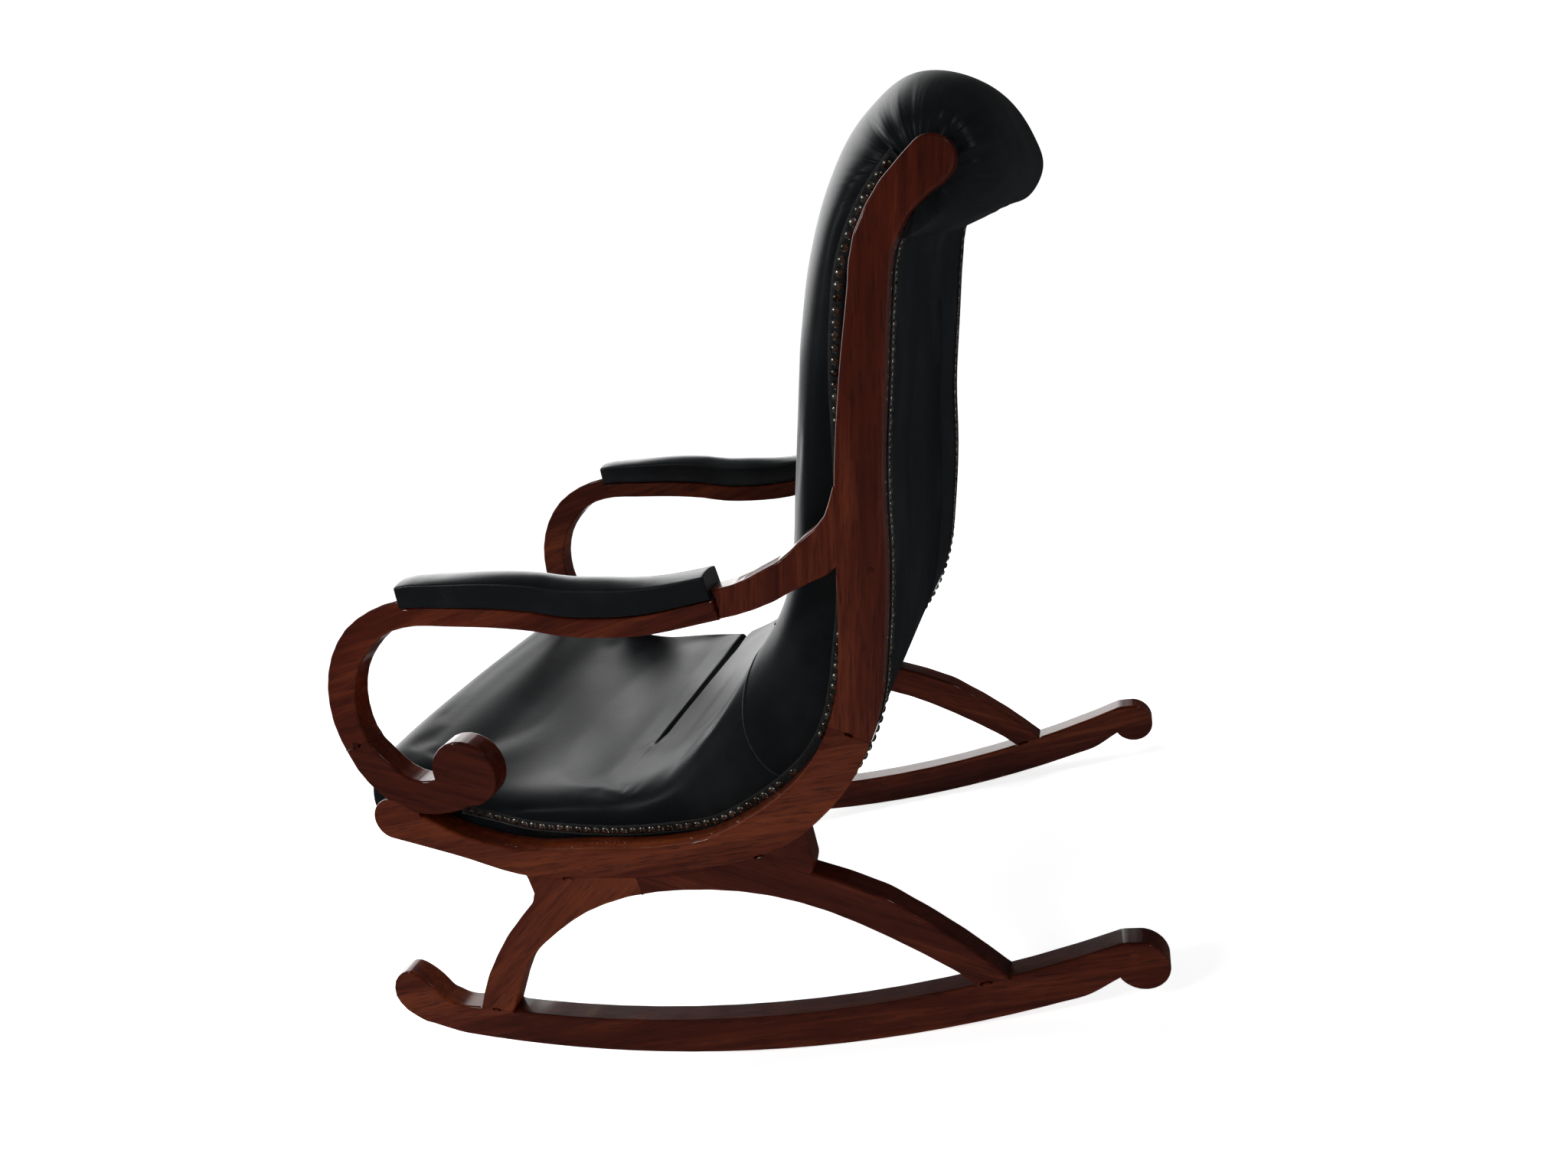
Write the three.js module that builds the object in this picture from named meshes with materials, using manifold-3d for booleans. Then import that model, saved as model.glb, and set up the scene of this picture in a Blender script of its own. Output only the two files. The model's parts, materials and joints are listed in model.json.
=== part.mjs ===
// A scroll-back rocking chair with open padded arms, on a pair of bow rockers.
// Two flat sawn frames stand either side of one upholstered seat and back.
// Millimetres, +Z up. The chair faces -Y and the sitter's left is +X.
import * as THREE from 'three';
import { mergeVertices } from 'three/addons/utils/BufferGeometryUtils.js';
import Module from 'manifold-3d';

const wasm = await Module();
wasm.setup();

// Overall sizes of the side frames
const frameWidth = 560;     // over the outer faces of the two frames
const sideDepth = 892;      // rocker toe to back scroll, the unit of every depth share
const sideHeight = 826;     // floor to back scroll, the unit of every height share
const boardThick = 28;
const edgeEase = 2;         // the small chamfer along every sawn edge
const clearance = 0.3;      // left between pieces that touch
const overrun = 40;         // how far a cutter runs past what it cuts

// Degrees that the drawn side view turns, nose down, to bring the weight over the contact
const restTilt = -1.96;

// Rocker
const rockerRadius = 1490;
const rockerHeight = 41;
const rockerFlat = 36;      // length of one flat of the faceted underside
const tailRadius = 25.5;
const toeRun = 40;          // from the upturned toe's root to the end of the true arc

// Widths of the back post and the seat rail, along their one curve
const postScrollWidth = 40;
const postNeckWidth = 35;
const postMiddleWidth = 40;
const postCrotchWidth = 46;
const postFootWidth = 43;
const railRearWidth = 44;
const railMiddleWidth = 34;
const railFrontWidth = 29;
const knuckleWidth = 50;

// Widths of the arm and its scroll
const armWidth = 30;
const sweepNeckWidth = 32;
const sweepRootWidth = 44;
const bowWidth = 34;
const scrollWidth = 41;
const curlRadius = 38.5;
const armThick = 34;        // the arm is thicker than the frame beneath its pad

// Arm pad
const padWidth = 43;
const padHeight = 24;
const padCrown = 3;
const padRebate = 9;        // how deep the pad's seat is cut into the arm
const padEndGap = 1;

// Upholstery frame, webbing and covers
const innerThick = 20;
const innerInset = 5;       // the inner boards stand this far inside the frame's edges
const strapThick = 2;
const strapWidth = 50;
const strapCount = 5;       // across the seat, and as many across the back
const skinThick = 3;
const clothThick = 1.5;
const seatCrown = 8;        // how much fuller the middle is than the sides
const headCrown = 3;

// Fastenings
const dowelRadius = 4.5;
const dowelLength = 38;
const plugRadius = 5;
const plugLength = 6;
const screwHeadRadius = 4.2;
const screwHeadLength = 3;
const screwShankRadius = 2.2;
const screwPointLength = 5;
const screwLength = 34;

// Points of the side view, as [depth share, height share] from the rocker's contact
const spineShares = [[0.386, 0.976], [0.345, 0.954], [0.313, 0.918], [0.294, 0.872],
  [0.265, 0.794], [0.230, 0.692], [0.203, 0.593], [0.177, 0.506], [0.150, 0.436],
  [0.112, 0.380], [0.067, 0.340], [0.011, 0.310], [-0.067, 0.292], [-0.146, 0.292],
  [-0.224, 0.305], [-0.315, 0.322], [-0.396, 0.363], [-0.475, 0.418]];
const spineWidths = [postScrollWidth, postNeckWidth, postNeckWidth, postNeckWidth,
  postMiddleWidth, postFootWidth, postCrotchWidth, postFootWidth, postFootWidth,
  postFootWidth, railRearWidth, railRearWidth, railMiddleWidth, railMiddleWidth,
  railMiddleWidth, railMiddleWidth, railFrontWidth, knuckleWidth];
const sweepShares = [[0.040, 0.598], [0.070, 0.598], [0.103, 0.604], [0.132, 0.612],
  [0.157, 0.621], [0.179, 0.631], [0.203, 0.646], [0.224, 0.678]];
const sweepWidths = [armWidth, armWidth, sweepNeckWidth, sweepNeckWidth,
  postMiddleWidth, postMiddleWidth, sweepRootWidth, sweepRootWidth];
const armShares = [[0.040, 0.598], [-0.045, 0.601], [-0.090, 0.609], [-0.139, 0.623],
  [-0.175, 0.639], [-0.220, 0.655], [-0.279, 0.672], [-0.334, 0.686], [-0.376, 0.685],
  [-0.417, 0.669], [-0.446, 0.645], [-0.464, 0.619], [-0.475, 0.592], [-0.481, 0.561],
  [-0.480, 0.529], [-0.470, 0.495], [-0.453, 0.465], [-0.427, 0.443], [-0.395, 0.436],
  [-0.364, 0.438]];
const armWidths = [armWidth, armWidth, armWidth, armWidth, armWidth, armWidth, armWidth,
  armWidth, armWidth, bowWidth, bowWidth, bowWidth, bowWidth, bowWidth, bowWidth,
  scrollWidth, scrollWidth, scrollWidth, scrollWidth, scrollWidth];
const curlShares = [-0.349, 0.460];
const archShares = [[-0.443, 0.075], [-0.424, 0.102], [-0.387, 0.156], [-0.354, 0.189],
  [-0.296, 0.222], [-0.245, 0.241], [-0.177, 0.250], [-0.097, 0.242], [-0.025, 0.222],
  [0.039, 0.189], [0.100, 0.142], [0.163, 0.083], [0.196, 0.042]];
const frontLegShares = [[-0.490, 0.085], [-0.470, 0.113], [-0.440, 0.160], [-0.389, 0.216],
  [-0.331, 0.262]];
const frontNotchShares = [[-0.322, 0.276], [-0.322, 0.317]];
const rearLegShares = [[0.241, 0.039], [0.218, 0.069], [0.175, 0.127], [0.107, 0.199],
  [0.039, 0.243]];
const rearNotchShares = [[0.045, 0.257], [0.049, 0.303]];
const toeShares = [[-0.563, 0.105], [-0.583, 0.125], [-0.592, 0.150], [-0.584, 0.174],
  [-0.568, 0.186], [-0.554, 0.187], [-0.541, 0.177], [-0.529, 0.161], [-0.520, 0.142]];
const tailShares = [0.359, 0.063];
const rockerCentreShare = -0.0224;
const seatFaceShares = [[-0.504, 0.390], [-0.527, 0.412], [-0.533, 0.446], [-0.519, 0.479],
  [-0.488, 0.496], [-0.451, 0.484], [-0.392, 0.442], [-0.325, 0.408], [-0.248, 0.391],
  [-0.179, 0.377]];
const backFaceShares = [[-0.179, 0.377], [-0.123, 0.386], [-0.056, 0.431], [0.011, 0.488],
  [0.067, 0.541], [0.103, 0.599], [0.133, 0.680], [0.166, 0.775], [0.196, 0.867]];
const headFaceShares = [[0.196, 0.867], [0.222, 0.930], [0.265, 0.998], [0.325, 1.046],
  [0.387, 1.061], [0.439, 1.038], [0.469, 0.987], [0.471, 0.942], [0.446, 0.909],
  [0.398, 0.900], [0.343, 0.901]];
const screwPlaceShares = { post: [0.2145, 0.592], rail: [-0.238, 0.299] };

// Places along the members, as shares of their length
const postFootShare = 0.47;
const armJointShare = 0.79;
const padEndShare = 0.492;
const creaseShare = 0.743;
const headStartShare = 0.14;
const skinTopShare = 0.085;
const skinFootShare = 0.6;
const clothFrontShare = 0.98;
const crossRailShares = {
  crest_rail: [0.015, 0.07],
  lower_back_rail: [0.445, 0.48],
  rear_seat_rail: [0.585, 0.62],
  front_seat_rail: [0.955, 0.99],
};
const seatStrapShares = [0.66, 0.92];
const backStrapShares = [0.1, 0.42];
const archCrownShare = 0.5;
const archOverlapShare = 0.06;
const legRailShares = { front: 0.812, rear: 0.62 };
const legFootShares = { front: -0.446, rear: 0.19 };

// The stuffing's section across the chair, as shares of its half width and its thickness
const stuffingDrawnInShare = 0.6;
const headDrawnInShare = 0.45;
const padDrawnInShare = 0.85;
const stuffingStationShares = [-1, -0.97, -0.9, -0.78, -0.45, 0, 0.45, 0.78, 0.9, 0.97, 1];
const padStationShares = [-1, -0.92, -0.65, 0, 0.65, 0.92, 1];
const squareness = 8;

// Numbers of facets
const spineSteps = 56;
const armSteps = 40;
const sweepSteps = 10;
const capSteps = 12;
const roundSteps = 24;
const faceSteps = 24;
const archSteps = 14;
const outerSteps = 8;
const toeSteps = 16;
const topSteps = 16;
const dowelSides = 8;
const plugSides = 12;

// Finishes
const finish = (color, roughness, metalness = 0) =>
  new THREE.MeshStandardMaterial({ color, roughness, metalness });
const mahogany = finish(0x3b1510, 0.3);
const beech = finish(0xb08a5c, 0.6);
const leather = finish(0x15191c, 0.4);
const webbing = finish(0x9a8866, 0.9);
const cloth = finish(0x101010, 0.95);
const steel = finish(0x8d8d88, 0.4, 1);

// Places in the side view, where x is the depth and y the height
const place = ([depthShare, heightShare]) =>
  new THREE.Vector2(depthShare * sideDepth, heightShare * sideHeight);
const places = (shares) => shares.map(place);
const smooth = (shares, steps) => new THREE.SplineCurve(places(shares)).getPoints(steps);

function between(from, to, steps) {
  return Array.from({ length: steps + 1 }, (_, i) => from + (to - from) * i / steps);
}

function arc(centre, radius, from, to, steps) {
  return between(from, to, steps).map((angle) =>
    new THREE.Vector2(Math.cos(angle), Math.sin(angle)).multiplyScalar(radius).add(centre));
}

const disc = (centre, radius) => arc(centre, radius, 0, 2 * Math.PI, roundSteps).slice(1);

// A member follows a curve whose third coordinate is its width. Everything that is built on it
// uses the same stations, so that the pieces beside it keep an even gap.
class Member {
  constructor(shares, widths, steps, roundEnds = false) {
    const points = shares.map((share, i) => {
      const { x, y } = place(share);
      return new THREE.Vector3(x, y, widths[i]);
    });
    const curve = new THREE.CatmullRomCurve3(points);
    this.steps = steps;
    this.roundEnds = roundEnds;
    this.length = curve.getLength();
    this.stations = between(0, 1, steps).map((share) => {
      const centre = curve.getPointAt(share);
      const along = curve.getTangentAt(share);
      const left = new THREE.Vector2(-along.y, along.x).normalize();
      return { centre: new THREE.Vector2(centre.x, centre.y), left, half: centre.z / 2 };
    });
  }

  // A point beside the member: side 1 is its left hand, -1 its right hand, 0 its centre
  at(share, side = 0, grow = 0) {
    const step = Math.min(Math.floor(share * this.steps), this.steps - 1);
    const [near, far] = [0, 1].map((next) => {
      const { centre, left, half } = this.stations[step + next];
      return centre.clone().addScaledVector(left, side * (half + grow));
    });
    return near.lerp(far, share * this.steps - step);
  }

  line([from, to], side, grow = 0) {
    const [low, high] = [Math.min(from, to), Math.max(from, to)];
    const inside = between(0, 1, this.steps).filter((share) => share > low && share < high);
    const points = [low, ...inside, high].map((share) => this.at(share, side, grow));
    return from > to ? points.reverse() : points;
  }

  // The half circle round an end, without the two points that the sides end on
  cap(share, grow = 0) {
    const { centre, left, half } = this.stations[share * this.steps];
    const start = left.angle() + (share ? 0 : Math.PI);
    return arc(centre, half + grow, start, start - Math.PI, capSteps).slice(1, -1);
  }

  // The outline of a stretch of the member
  stretch([from, to], grow = 0) {
    const head = this.roundEnds && to === 1 ? this.cap(1, grow) : [];
    const tail = this.roundEnds && from === 0 ? this.cap(0, grow) : [];
    return [...this.line([from, to], 1, grow), ...head, ...this.line([to, from], -1, grow), ...tail];
  }

  // The outline of a layer that lies along one side of the member
  layer(range, side, grow, thick) {
    return [...this.line(range, side, grow), ...this.line(range, side, grow + thick).reverse()];
  }

  // The direction of the member's travel
  angle(share) {
    return this.at(share, 1).sub(this.at(share)).angle() - Math.PI / 2;
  }

  share(length) {
    return length / this.length;
  }
}

const spine = new Member(spineShares, spineWidths, spineSteps, true);
const sweep = new Member(sweepShares, sweepWidths, sweepSteps);
const arm = new Member(armShares, armWidths, armSteps);

// Solids and meshes
function solid(geometry) {
  const bare = new THREE.BufferGeometry();
  bare.setAttribute('position', geometry.getAttribute('position'));
  bare.setIndex(geometry.index);
  const { attributes, index } = mergeVertices(bare);
  return new wasm.Manifold(new wasm.Mesh({
    numProp: 3,
    vertProperties: new Float32Array(attributes.position.array),
    triVerts: new Uint32Array(index.array),
  }));
}

function mesh(name, material, body) {
  const { vertProperties, triVerts } = body.getMesh();
  const geometry = new THREE.BufferGeometry();
  geometry.setAttribute('position', new THREE.BufferAttribute(vertProperties, 3));
  geometry.setIndex(new THREE.BufferAttribute(triVerts, 1));
  geometry.computeVertexNormals();
  const piece = new THREE.Mesh(geometry, material.clone());
  piece.name = name;
  return piece;
}

const anticlockwise = (outline) =>
  THREE.ShapeUtils.area(outline) > 0 ? outline : [...outline].reverse();

// An outline of the side view made into a board, centred on X = 0
const sideView = new THREE.Matrix4().makeBasis(
  new THREE.Vector3(0, 1, 0), new THREE.Vector3(0, 0, 1), new THREE.Vector3(1, 0, 0));

function board(outline, thick, ease = 0, thickShareAt = () => 1) {
  const geometry = new THREE.ExtrudeGeometry(new THREE.Shape(anticlockwise(outline)), {
    depth: thick - 2 * ease,
    bevelEnabled: ease > 0,
    bevelThickness: ease,
    bevelSize: ease,
    bevelOffset: -ease,
    bevelSegments: 1,
  });
  geometry.translate(0, 0, ease - thick / 2).applyMatrix4(sideView);
  const position = geometry.getAttribute('position');
  for (let i = 0; i < position.count; i++) {
    position.setX(i, position.getX(i) * thickShareAt(position.getY(i)));
  }
  return solid(geometry);
}

const sawn = (outline) => board(outline, boardThick, edgeEase);
const cutter = (outline) => board(outline, boardThick + 2 * overrun);

// What lies past a square joint across a member
const pastJoint = (member, from, to) => cutter(member.stretch([from, to], overrun / 2));

function cutAll(body, cuts) {
  return cuts.reduce((rest, cut) => rest.subtract(cut), body);
}

// Dowels lie in the plane of a side frame and cross its joints
function dowel({ centre, angle }, grow = 0) {
  const [radius, length] = [dowelRadius + grow, dowelLength + 2 * grow];
  const rod = new THREE.CylinderGeometry(radius, radius, length, dowelSides);
  return solid(rod.rotateX(angle).translate(0, centre.x, centre.y));
}

const rockerCentre = new THREE.Vector2(rockerCentreShare * sideDepth, rockerRadius);
const rockerAngle = (depth, radius) => -Math.acos((depth - rockerCentre.x) / radius);

const along = (member, share) => ({ centre: member.at(share), angle: member.angle(share) });

function underRail(share) {
  return { centre: spine.at(share, 1), angle: spine.angle(share) + Math.PI / 2 };
}

function onRocker(depthShare) {
  const radius = rockerRadius - rockerHeight;
  const angle = rockerAngle(depthShare * sideDepth, radius);
  return { centre: arc(rockerCentre, radius, angle, angle, 1)[0], angle };
}

const dowels = {
  post_rail: along(spine, postFootShare),
  arm_post: along(arm, 0),
  arm_scroll: along(arm, armJointShare),
  front_leg_rail: underRail(legRailShares.front),
  rear_leg_rail: underRail(legRailShares.rear),
  front_leg_rocker: onRocker(legFootShares.front),
  rear_leg_rocker: onRocker(legFootShares.rear),
};
const dowelHoles = (...names) => names.map((name) => dowel(dowels[name], clearance));

// A piece turned about an axis along X. Its profile holds [radius, depth inwards from the outer
// face of the frame], hand is 1 on the left side and -1 on the right, and shift moves it outwards.
function turned(profile, [depthShare, heightShare], hand, sides, shift = 0) {
  const points = profile.map(([radius, depth]) =>
    new THREE.Vector2(radius, boardThick / 2 + shift - depth));
  const rod = new THREE.LatheGeometry(points.reverse(), sides).rotateZ(-hand * Math.PI / 2);
  return solid(rod.translate(0, depthShare * sideDepth, heightShare * sideHeight));
}

const screwTop = plugLength + clearance;
const plugProfile = [[0, 0], [plugRadius, 0], [plugRadius, plugLength], [0, plugLength]];
const screwProfile = [[0, screwTop], [screwHeadRadius, screwTop],
  [screwShankRadius, screwTop + screwHeadLength],
  [screwShankRadius, screwTop + screwLength - screwPointLength], [0, screwTop + screwLength]];
const screwHole = [[0, -overrun], [plugRadius + clearance, -overrun],
  [plugRadius + clearance, screwTop], [screwHeadRadius + clearance, screwTop],
  [screwShankRadius + clearance, screwTop + screwHeadLength],
  [screwShankRadius + clearance, screwTop + screwLength + clearance],
  [0, screwTop + screwLength + clearance]];

// Back post, with the sweep that carries the arm
function makePost(hand) {
  const gap = spine.share(clearance / 2);
  const end = postFootShare + spine.share(overrun / 2);
  const upright = sawn(spine.stretch([0, end]));
  const branch = sawn(sweep.stretch([sweep.share(clearance / 2), 1]));
  const past = pastJoint(spine, postFootShare - gap, 1);
  const hole = turned(screwHole, screwPlaceShares.post, hand, plugSides);
  return cutAll(upright.add(branch), [past, hole, ...dowelHoles('post_rail', 'arm_post')]);
}

// Seat rail, from the post's foot to the rounded knuckle at the front
function makeRail(hand) {
  const gap = spine.share(clearance / 2);
  const start = postFootShare - spine.share(overrun / 2);
  const past = pastJoint(spine, 0, postFootShare + gap);
  const hole = turned(screwHole, screwPlaceShares.rail, hand, plugSides);
  const holes = dowelHoles('post_rail', 'front_leg_rail', 'rear_leg_rail');
  return cutAll(sawn(spine.stretch([start, 1])), [past, hole, ...holes]);
}

const railRoom = () => cutter(spine.stretch([postFootShare, 1], clearance));

// The legs stay below the rail, whatever its curve
const aboveRail = () =>
  cutter(spine.layer([legRailShares.rear, legRailShares.front], -1, 0, overrun));

// The arm thins from its pad's middle to the frame's own thickness at the bow
function makeArm() {
  const gap = arm.share(clearance / 2);
  const [middle, front] = [padEndShare / 2, padEndShare].map((share) => arm.at(share).x);
  const thickShareAt = (depth) => {
    const inside = THREE.MathUtils.clamp(depth, front, middle);
    return THREE.MathUtils.mapLinear(inside, front, middle, boardThick / armThick, 1);
  };
  const end = armJointShare + arm.share(overrun / 2);
  const bar = board(arm.stretch([gap, end]), armThick, edgeEase, thickShareAt);
  const padSeat = cutter(arm.layer([0, padEndShare], -1, -padRebate, overrun));
  const past = pastJoint(arm, armJointShare - gap, 1);
  return cutAll(bar, [padSeat, past, ...dowelHoles('arm_post', 'arm_scroll')]);
}

function makeScroll() {
  const gap = arm.share(clearance / 2);
  const start = armJointShare - arm.share(overrun / 2);
  const bow = sawn(arm.stretch([start, 1])).add(sawn(disc(place(curlShares), curlRadius)));
  const past = pastJoint(arm, 0, armJointShare + gap);
  return cutAll(bow, [past, railRoom(), ...dowelHoles('arm_scroll')]);
}

// Rocker: its underside is a true arc in flats, one of them level beneath the chair's weight
const contactAngle = -Math.PI / 2 - THREE.MathUtils.degToRad(restTilt);
const tailCentre = place(tailShares);

function rockerUnderside() {
  const flat = 2 * Math.asin(rockerFlat / 2 / rockerRadius);
  const first = contactAngle - flat / 2;
  const toe = rockerAngle(place(toeShares[0]).x + toeRun, rockerRadius);
  const tail = rockerAngle(tailCentre.x - tailRadius, rockerRadius);
  const ahead = Math.floor((first - toe) / flat);
  const behind = Math.floor((tail - first) / flat);
  const [start, end] = [first - ahead * flat, first + behind * flat];
  return arc(rockerCentre, rockerRadius, start, end, ahead + behind);
}

function rockerTop(grow) {
  const radius = rockerRadius - rockerHeight;
  const toe = rockerAngle(place(toeShares.at(-1)).x + tailRadius / 2, radius);
  const tail = rockerAngle(tailCentre.x - tailRadius / 2, radius);
  return arc(rockerCentre, radius - grow, tail, toe, topSteps);
}

function makeRocker() {
  const tailTop = new THREE.Vector2(tailCentre.x, tailCentre.y + tailRadius);
  const toe = smooth(toeShares, toeSteps).reverse();
  const bar = sawn([...rockerUnderside(), tailCentre, tailTop, ...rockerTop(0), ...toe]);
  const holes = dowelHoles('front_leg_rocker', 'rear_leg_rocker');
  return cutAll(bar.add(sawn(disc(tailCentre, tailRadius))), holes);
}

function rockerRoom() {
  const top = rockerTop(clearance);
  return cutter([...top, new THREE.Vector2(top.at(-1).x, 0), new THREE.Vector2(top[0].x, 0)]);
}

// Legs: one arch in two pieces that meet at its crown, cut to the rail and to the rocker
const arch = new THREE.SplineCurve(places(archShares));
const archLine = (from, to) => between(from, to, archSteps).map((share) => arch.getPoint(share));

function pastCrown(side) {
  const { x } = arch.getPoint(archCrownShare);
  const [near, far] = [x - side * clearance / 2, x + side * sideDepth];
  return cutter([new THREE.Vector2(near, 0), new THREE.Vector2(far, 0),
    new THREE.Vector2(far, sideHeight), new THREE.Vector2(near, sideHeight)]);
}

function makeFrontLeg() {
  const inner = archLine(0, archCrownShare + archOverlapShare);
  const notch = places(frontNotchShares).reverse();
  const corner = new THREE.Vector2(inner.at(-1).x, notch[0].y);
  const outer = smooth(frontLegShares, outerSteps).reverse();
  const leg = sawn([...inner, corner, ...notch, ...outer]);
  const holes = dowelHoles('front_leg_rail', 'front_leg_rocker');
  return cutAll(leg, [railRoom(), aboveRail(), rockerRoom(), pastCrown(1), ...holes]);
}

function makeRearLeg() {
  const inner = archLine(archCrownShare - archOverlapShare, 1);
  const notch = places(rearNotchShares);
  const corner = new THREE.Vector2(inner[0].x, notch.at(-1).y);
  const leg = sawn([...inner, ...smooth(rearLegShares, outerSteps), ...notch, corner]);
  const holes = dowelHoles('rear_leg_rail', 'rear_leg_rocker');
  return cutAll(leg, [railRoom(), aboveRail(), rockerRoom(), pastCrown(-1), ...holes]);
}

// Upholstery frame: a board against the inside of each side frame, and rails across
const innerReach = frameWidth / 2 - boardThick - clearance;
const boardEdge = -innerInset;
const strapFoot = boardEdge + clearance;
const stuffingFoot = strapFoot + strapThick + clearance;
const across = 2 * innerReach;

function makeInnerBoard(hand) {
  const shift = boardThick / 2 + clearance + innerThick / 2;
  const holes = Object.values(screwPlaceShares).map((shares) =>
    turned(screwHole, shares, hand, plugSides, shift));
  return cutAll(board(spine.stretch([0, 1], boardEdge), innerThick), holes);
}

const makeCrossRail = (range) =>
  board(spine.stretch(range, boardEdge), across - 2 * (innerThick + clearance));

function makeStrap(share) {
  const reach = spine.share(strapWidth / 2);
  return board(spine.layer([share - reach, share + reach], -1, strapFoot, strapThick), across);
}

const makeOutsideBack = () =>
  board(spine.layer([skinTopShare, skinFootShare], 1, strapFoot, skinThick), across);

function makeDustCover() {
  const start = skinFootShare + spine.share(clearance);
  return board(spine.layer([start, clothFrontShare], 1, strapFoot, clothThick), across);
}

// Stuffing
// Points on a line at the same shares of its length as a face's points are of the face's length
function rootsOf(face, base) {
  const lengths = (line) => line.reduce((sums, point, i) =>
    [...sums, i ? sums[i - 1] + point.distanceTo(line[i - 1]) : 0], []);
  const [faceAt, baseAt] = [lengths(face), lengths(base)];
  return faceAt.map((length) => {
    const target = length / faceAt.at(-1) * baseAt.at(-1);
    const next = THREE.MathUtils.clamp(baseAt.findIndex((at) => at >= target), 1, base.length - 1);
    const part = (target - baseAt[next - 1]) / (baseAt[next] - baseAt[next - 1]);
    return base[next - 1].clone().lerp(base[next], part);
  });
}

// A line with both its ends drawn in, so that two stuffings that meet leave a gap
function trimmed(line) {
  const drawn = line.map((point) => point.clone());
  drawn[0].lerp(line[1], clearance / 2 / line[0].distanceTo(line[1]));
  drawn.at(-1).lerp(line.at(-2), clearance / 2 / line.at(-1).distanceTo(line.at(-2)));
  return drawn;
}

// A form that stands on a base line and swells to a face line, crowned and with drawn-in sides
function stuffing(face, base, width, crown, drawnInShare, stationShares) {
  const roots = rootsOf(face, base);
  const rings = stationShares.map((share) => {
    const fullness = drawnInShare + (1 - drawnInShare) * Math.sqrt(1 - Math.abs(share) ** squareness);
    const swell = crown * (1 - share * share);
    const skin = face.map((point, i) => {
      const reach = point.clone().sub(roots[i]);
      return roots[i].clone().addScaledVector(reach, fullness + swell / reach.length());
    });
    return [...skin, ...[...base].reverse()];
  });
  const turnedOver = THREE.ShapeUtils.area(rings[0]) < 0;
  const outlines = turnedOver ? rings.map((ring) => ring.reverse()) : rings;
  const count = outlines[0].length;
  const last = (outlines.length - 1) * count;
  const caps = THREE.ShapeUtils.triangulateShape(outlines[0], []);
  const sides = outlines.slice(1).flatMap((_, ring) => outlines[0].flatMap((_, i) => {
    const [near, next] = [ring * count + i, ring * count + (i + 1) % count];
    return [near, next, next + count, near, next + count, near + count];
  }));
  const farCap = THREE.ShapeUtils.triangulateShape(outlines.at(-1), []);
  const geometry = new THREE.BufferGeometry();
  const positions = outlines.flatMap((ring, i) =>
    ring.flatMap(({ x, y }) => [stationShares[i] * width / 2, x, y]));
  geometry.setAttribute('position', new THREE.Float32BufferAttribute(positions, 3));
  geometry.setIndex([...caps.flatMap(([a, b, c]) => [c, b, a]), ...sides,
    ...farCap.flatMap((corners) => corners.map((corner) => corner + last))]);
  return solid(geometry);
}

function makeSeatCushion() {
  const knuckle = spine.cap(1, stuffingFoot);
  const base = [...knuckle, ...spine.line([1, creaseShare], -1, stuffingFoot)];
  const face = trimmed(smooth(seatFaceShares, faceSteps));
  return stuffing(face, trimmed(base), across, seatCrown, stuffingDrawnInShare,
    stuffingStationShares);
}

function makeBackCushion() {
  const base = spine.line([creaseShare, headStartShare], -1, stuffingFoot);
  const face = trimmed(smooth(backFaceShares, faceSteps));
  return stuffing(face, trimmed(base), across, seatCrown, stuffingDrawnInShare,
    stuffingStationShares);
}

function makeHeadRoll() {
  const front = spine.line([headStartShare, 0], -1, stuffingFoot);
  const rear = spine.line([0, skinTopShare], 1, stuffingFoot);
  const face = trimmed(smooth(headFaceShares, faceSteps));
  const base = trimmed([...front, ...spine.cap(0, stuffingFoot), ...rear]);
  return stuffing(face, base, across, headCrown, headDrawnInShare, stuffingStationShares);
}

function makeArmPad() {
  const range = [arm.share(padEndGap), padEndShare - arm.share(padEndGap)];
  const foot = clearance - padRebate;
  const base = arm.line(range, -1, foot);
  const face = arm.line(range, -1, foot + padHeight);
  return stuffing(face, base, padWidth, padCrown, padDrawnInShare, padStationShares);
}

// The whole chair
const sidePieces = {
  back_post: [mahogany, makePost],
  seat_rail: [mahogany, makeRail],
  arm_rail: [mahogany, makeArm],
  arm_scroll: [mahogany, makeScroll],
  front_leg: [mahogany, makeFrontLeg],
  rear_leg: [mahogany, makeRearLeg],
  rocker: [mahogany, makeRocker],
  arm_pad: [leather, makeArmPad],
};

function makeSide(name, hand) {
  const side = new THREE.Group();
  for (const [piece, [material, make]] of Object.entries(sidePieces)) {
    side.add(mesh(`${piece}_${name}`, material, make(hand)));
  }
  for (const [joint, where] of Object.entries(dowels)) {
    side.add(mesh(`${joint}_dowel_${name}`, beech, dowel(where)));
  }
  for (const [member, shares] of Object.entries(screwPlaceShares)) {
    const screw = turned(screwProfile, shares, hand, plugSides);
    const plug = turned(plugProfile, shares, hand, plugSides);
    side.add(mesh(`${member}_screw_${name}`, steel, screw));
    side.add(mesh(`${member}_plug_${name}`, mahogany, plug));
  }
  side.position.x = hand * (frameWidth - boardThick) / 2;
  const innerBoard = mesh(`upholstery_side_${name}`, beech, makeInnerBoard(hand));
  innerBoard.position.x = hand * (innerReach - innerThick / 2);
  return [side, innerBoard];
}

function makeStraps(name, [from, to]) {
  return between(from, to, strapCount - 1).map((share, i) =>
    mesh(`${name}_strap_${i + 1}`, webbing, makeStrap(share)));
}

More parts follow.
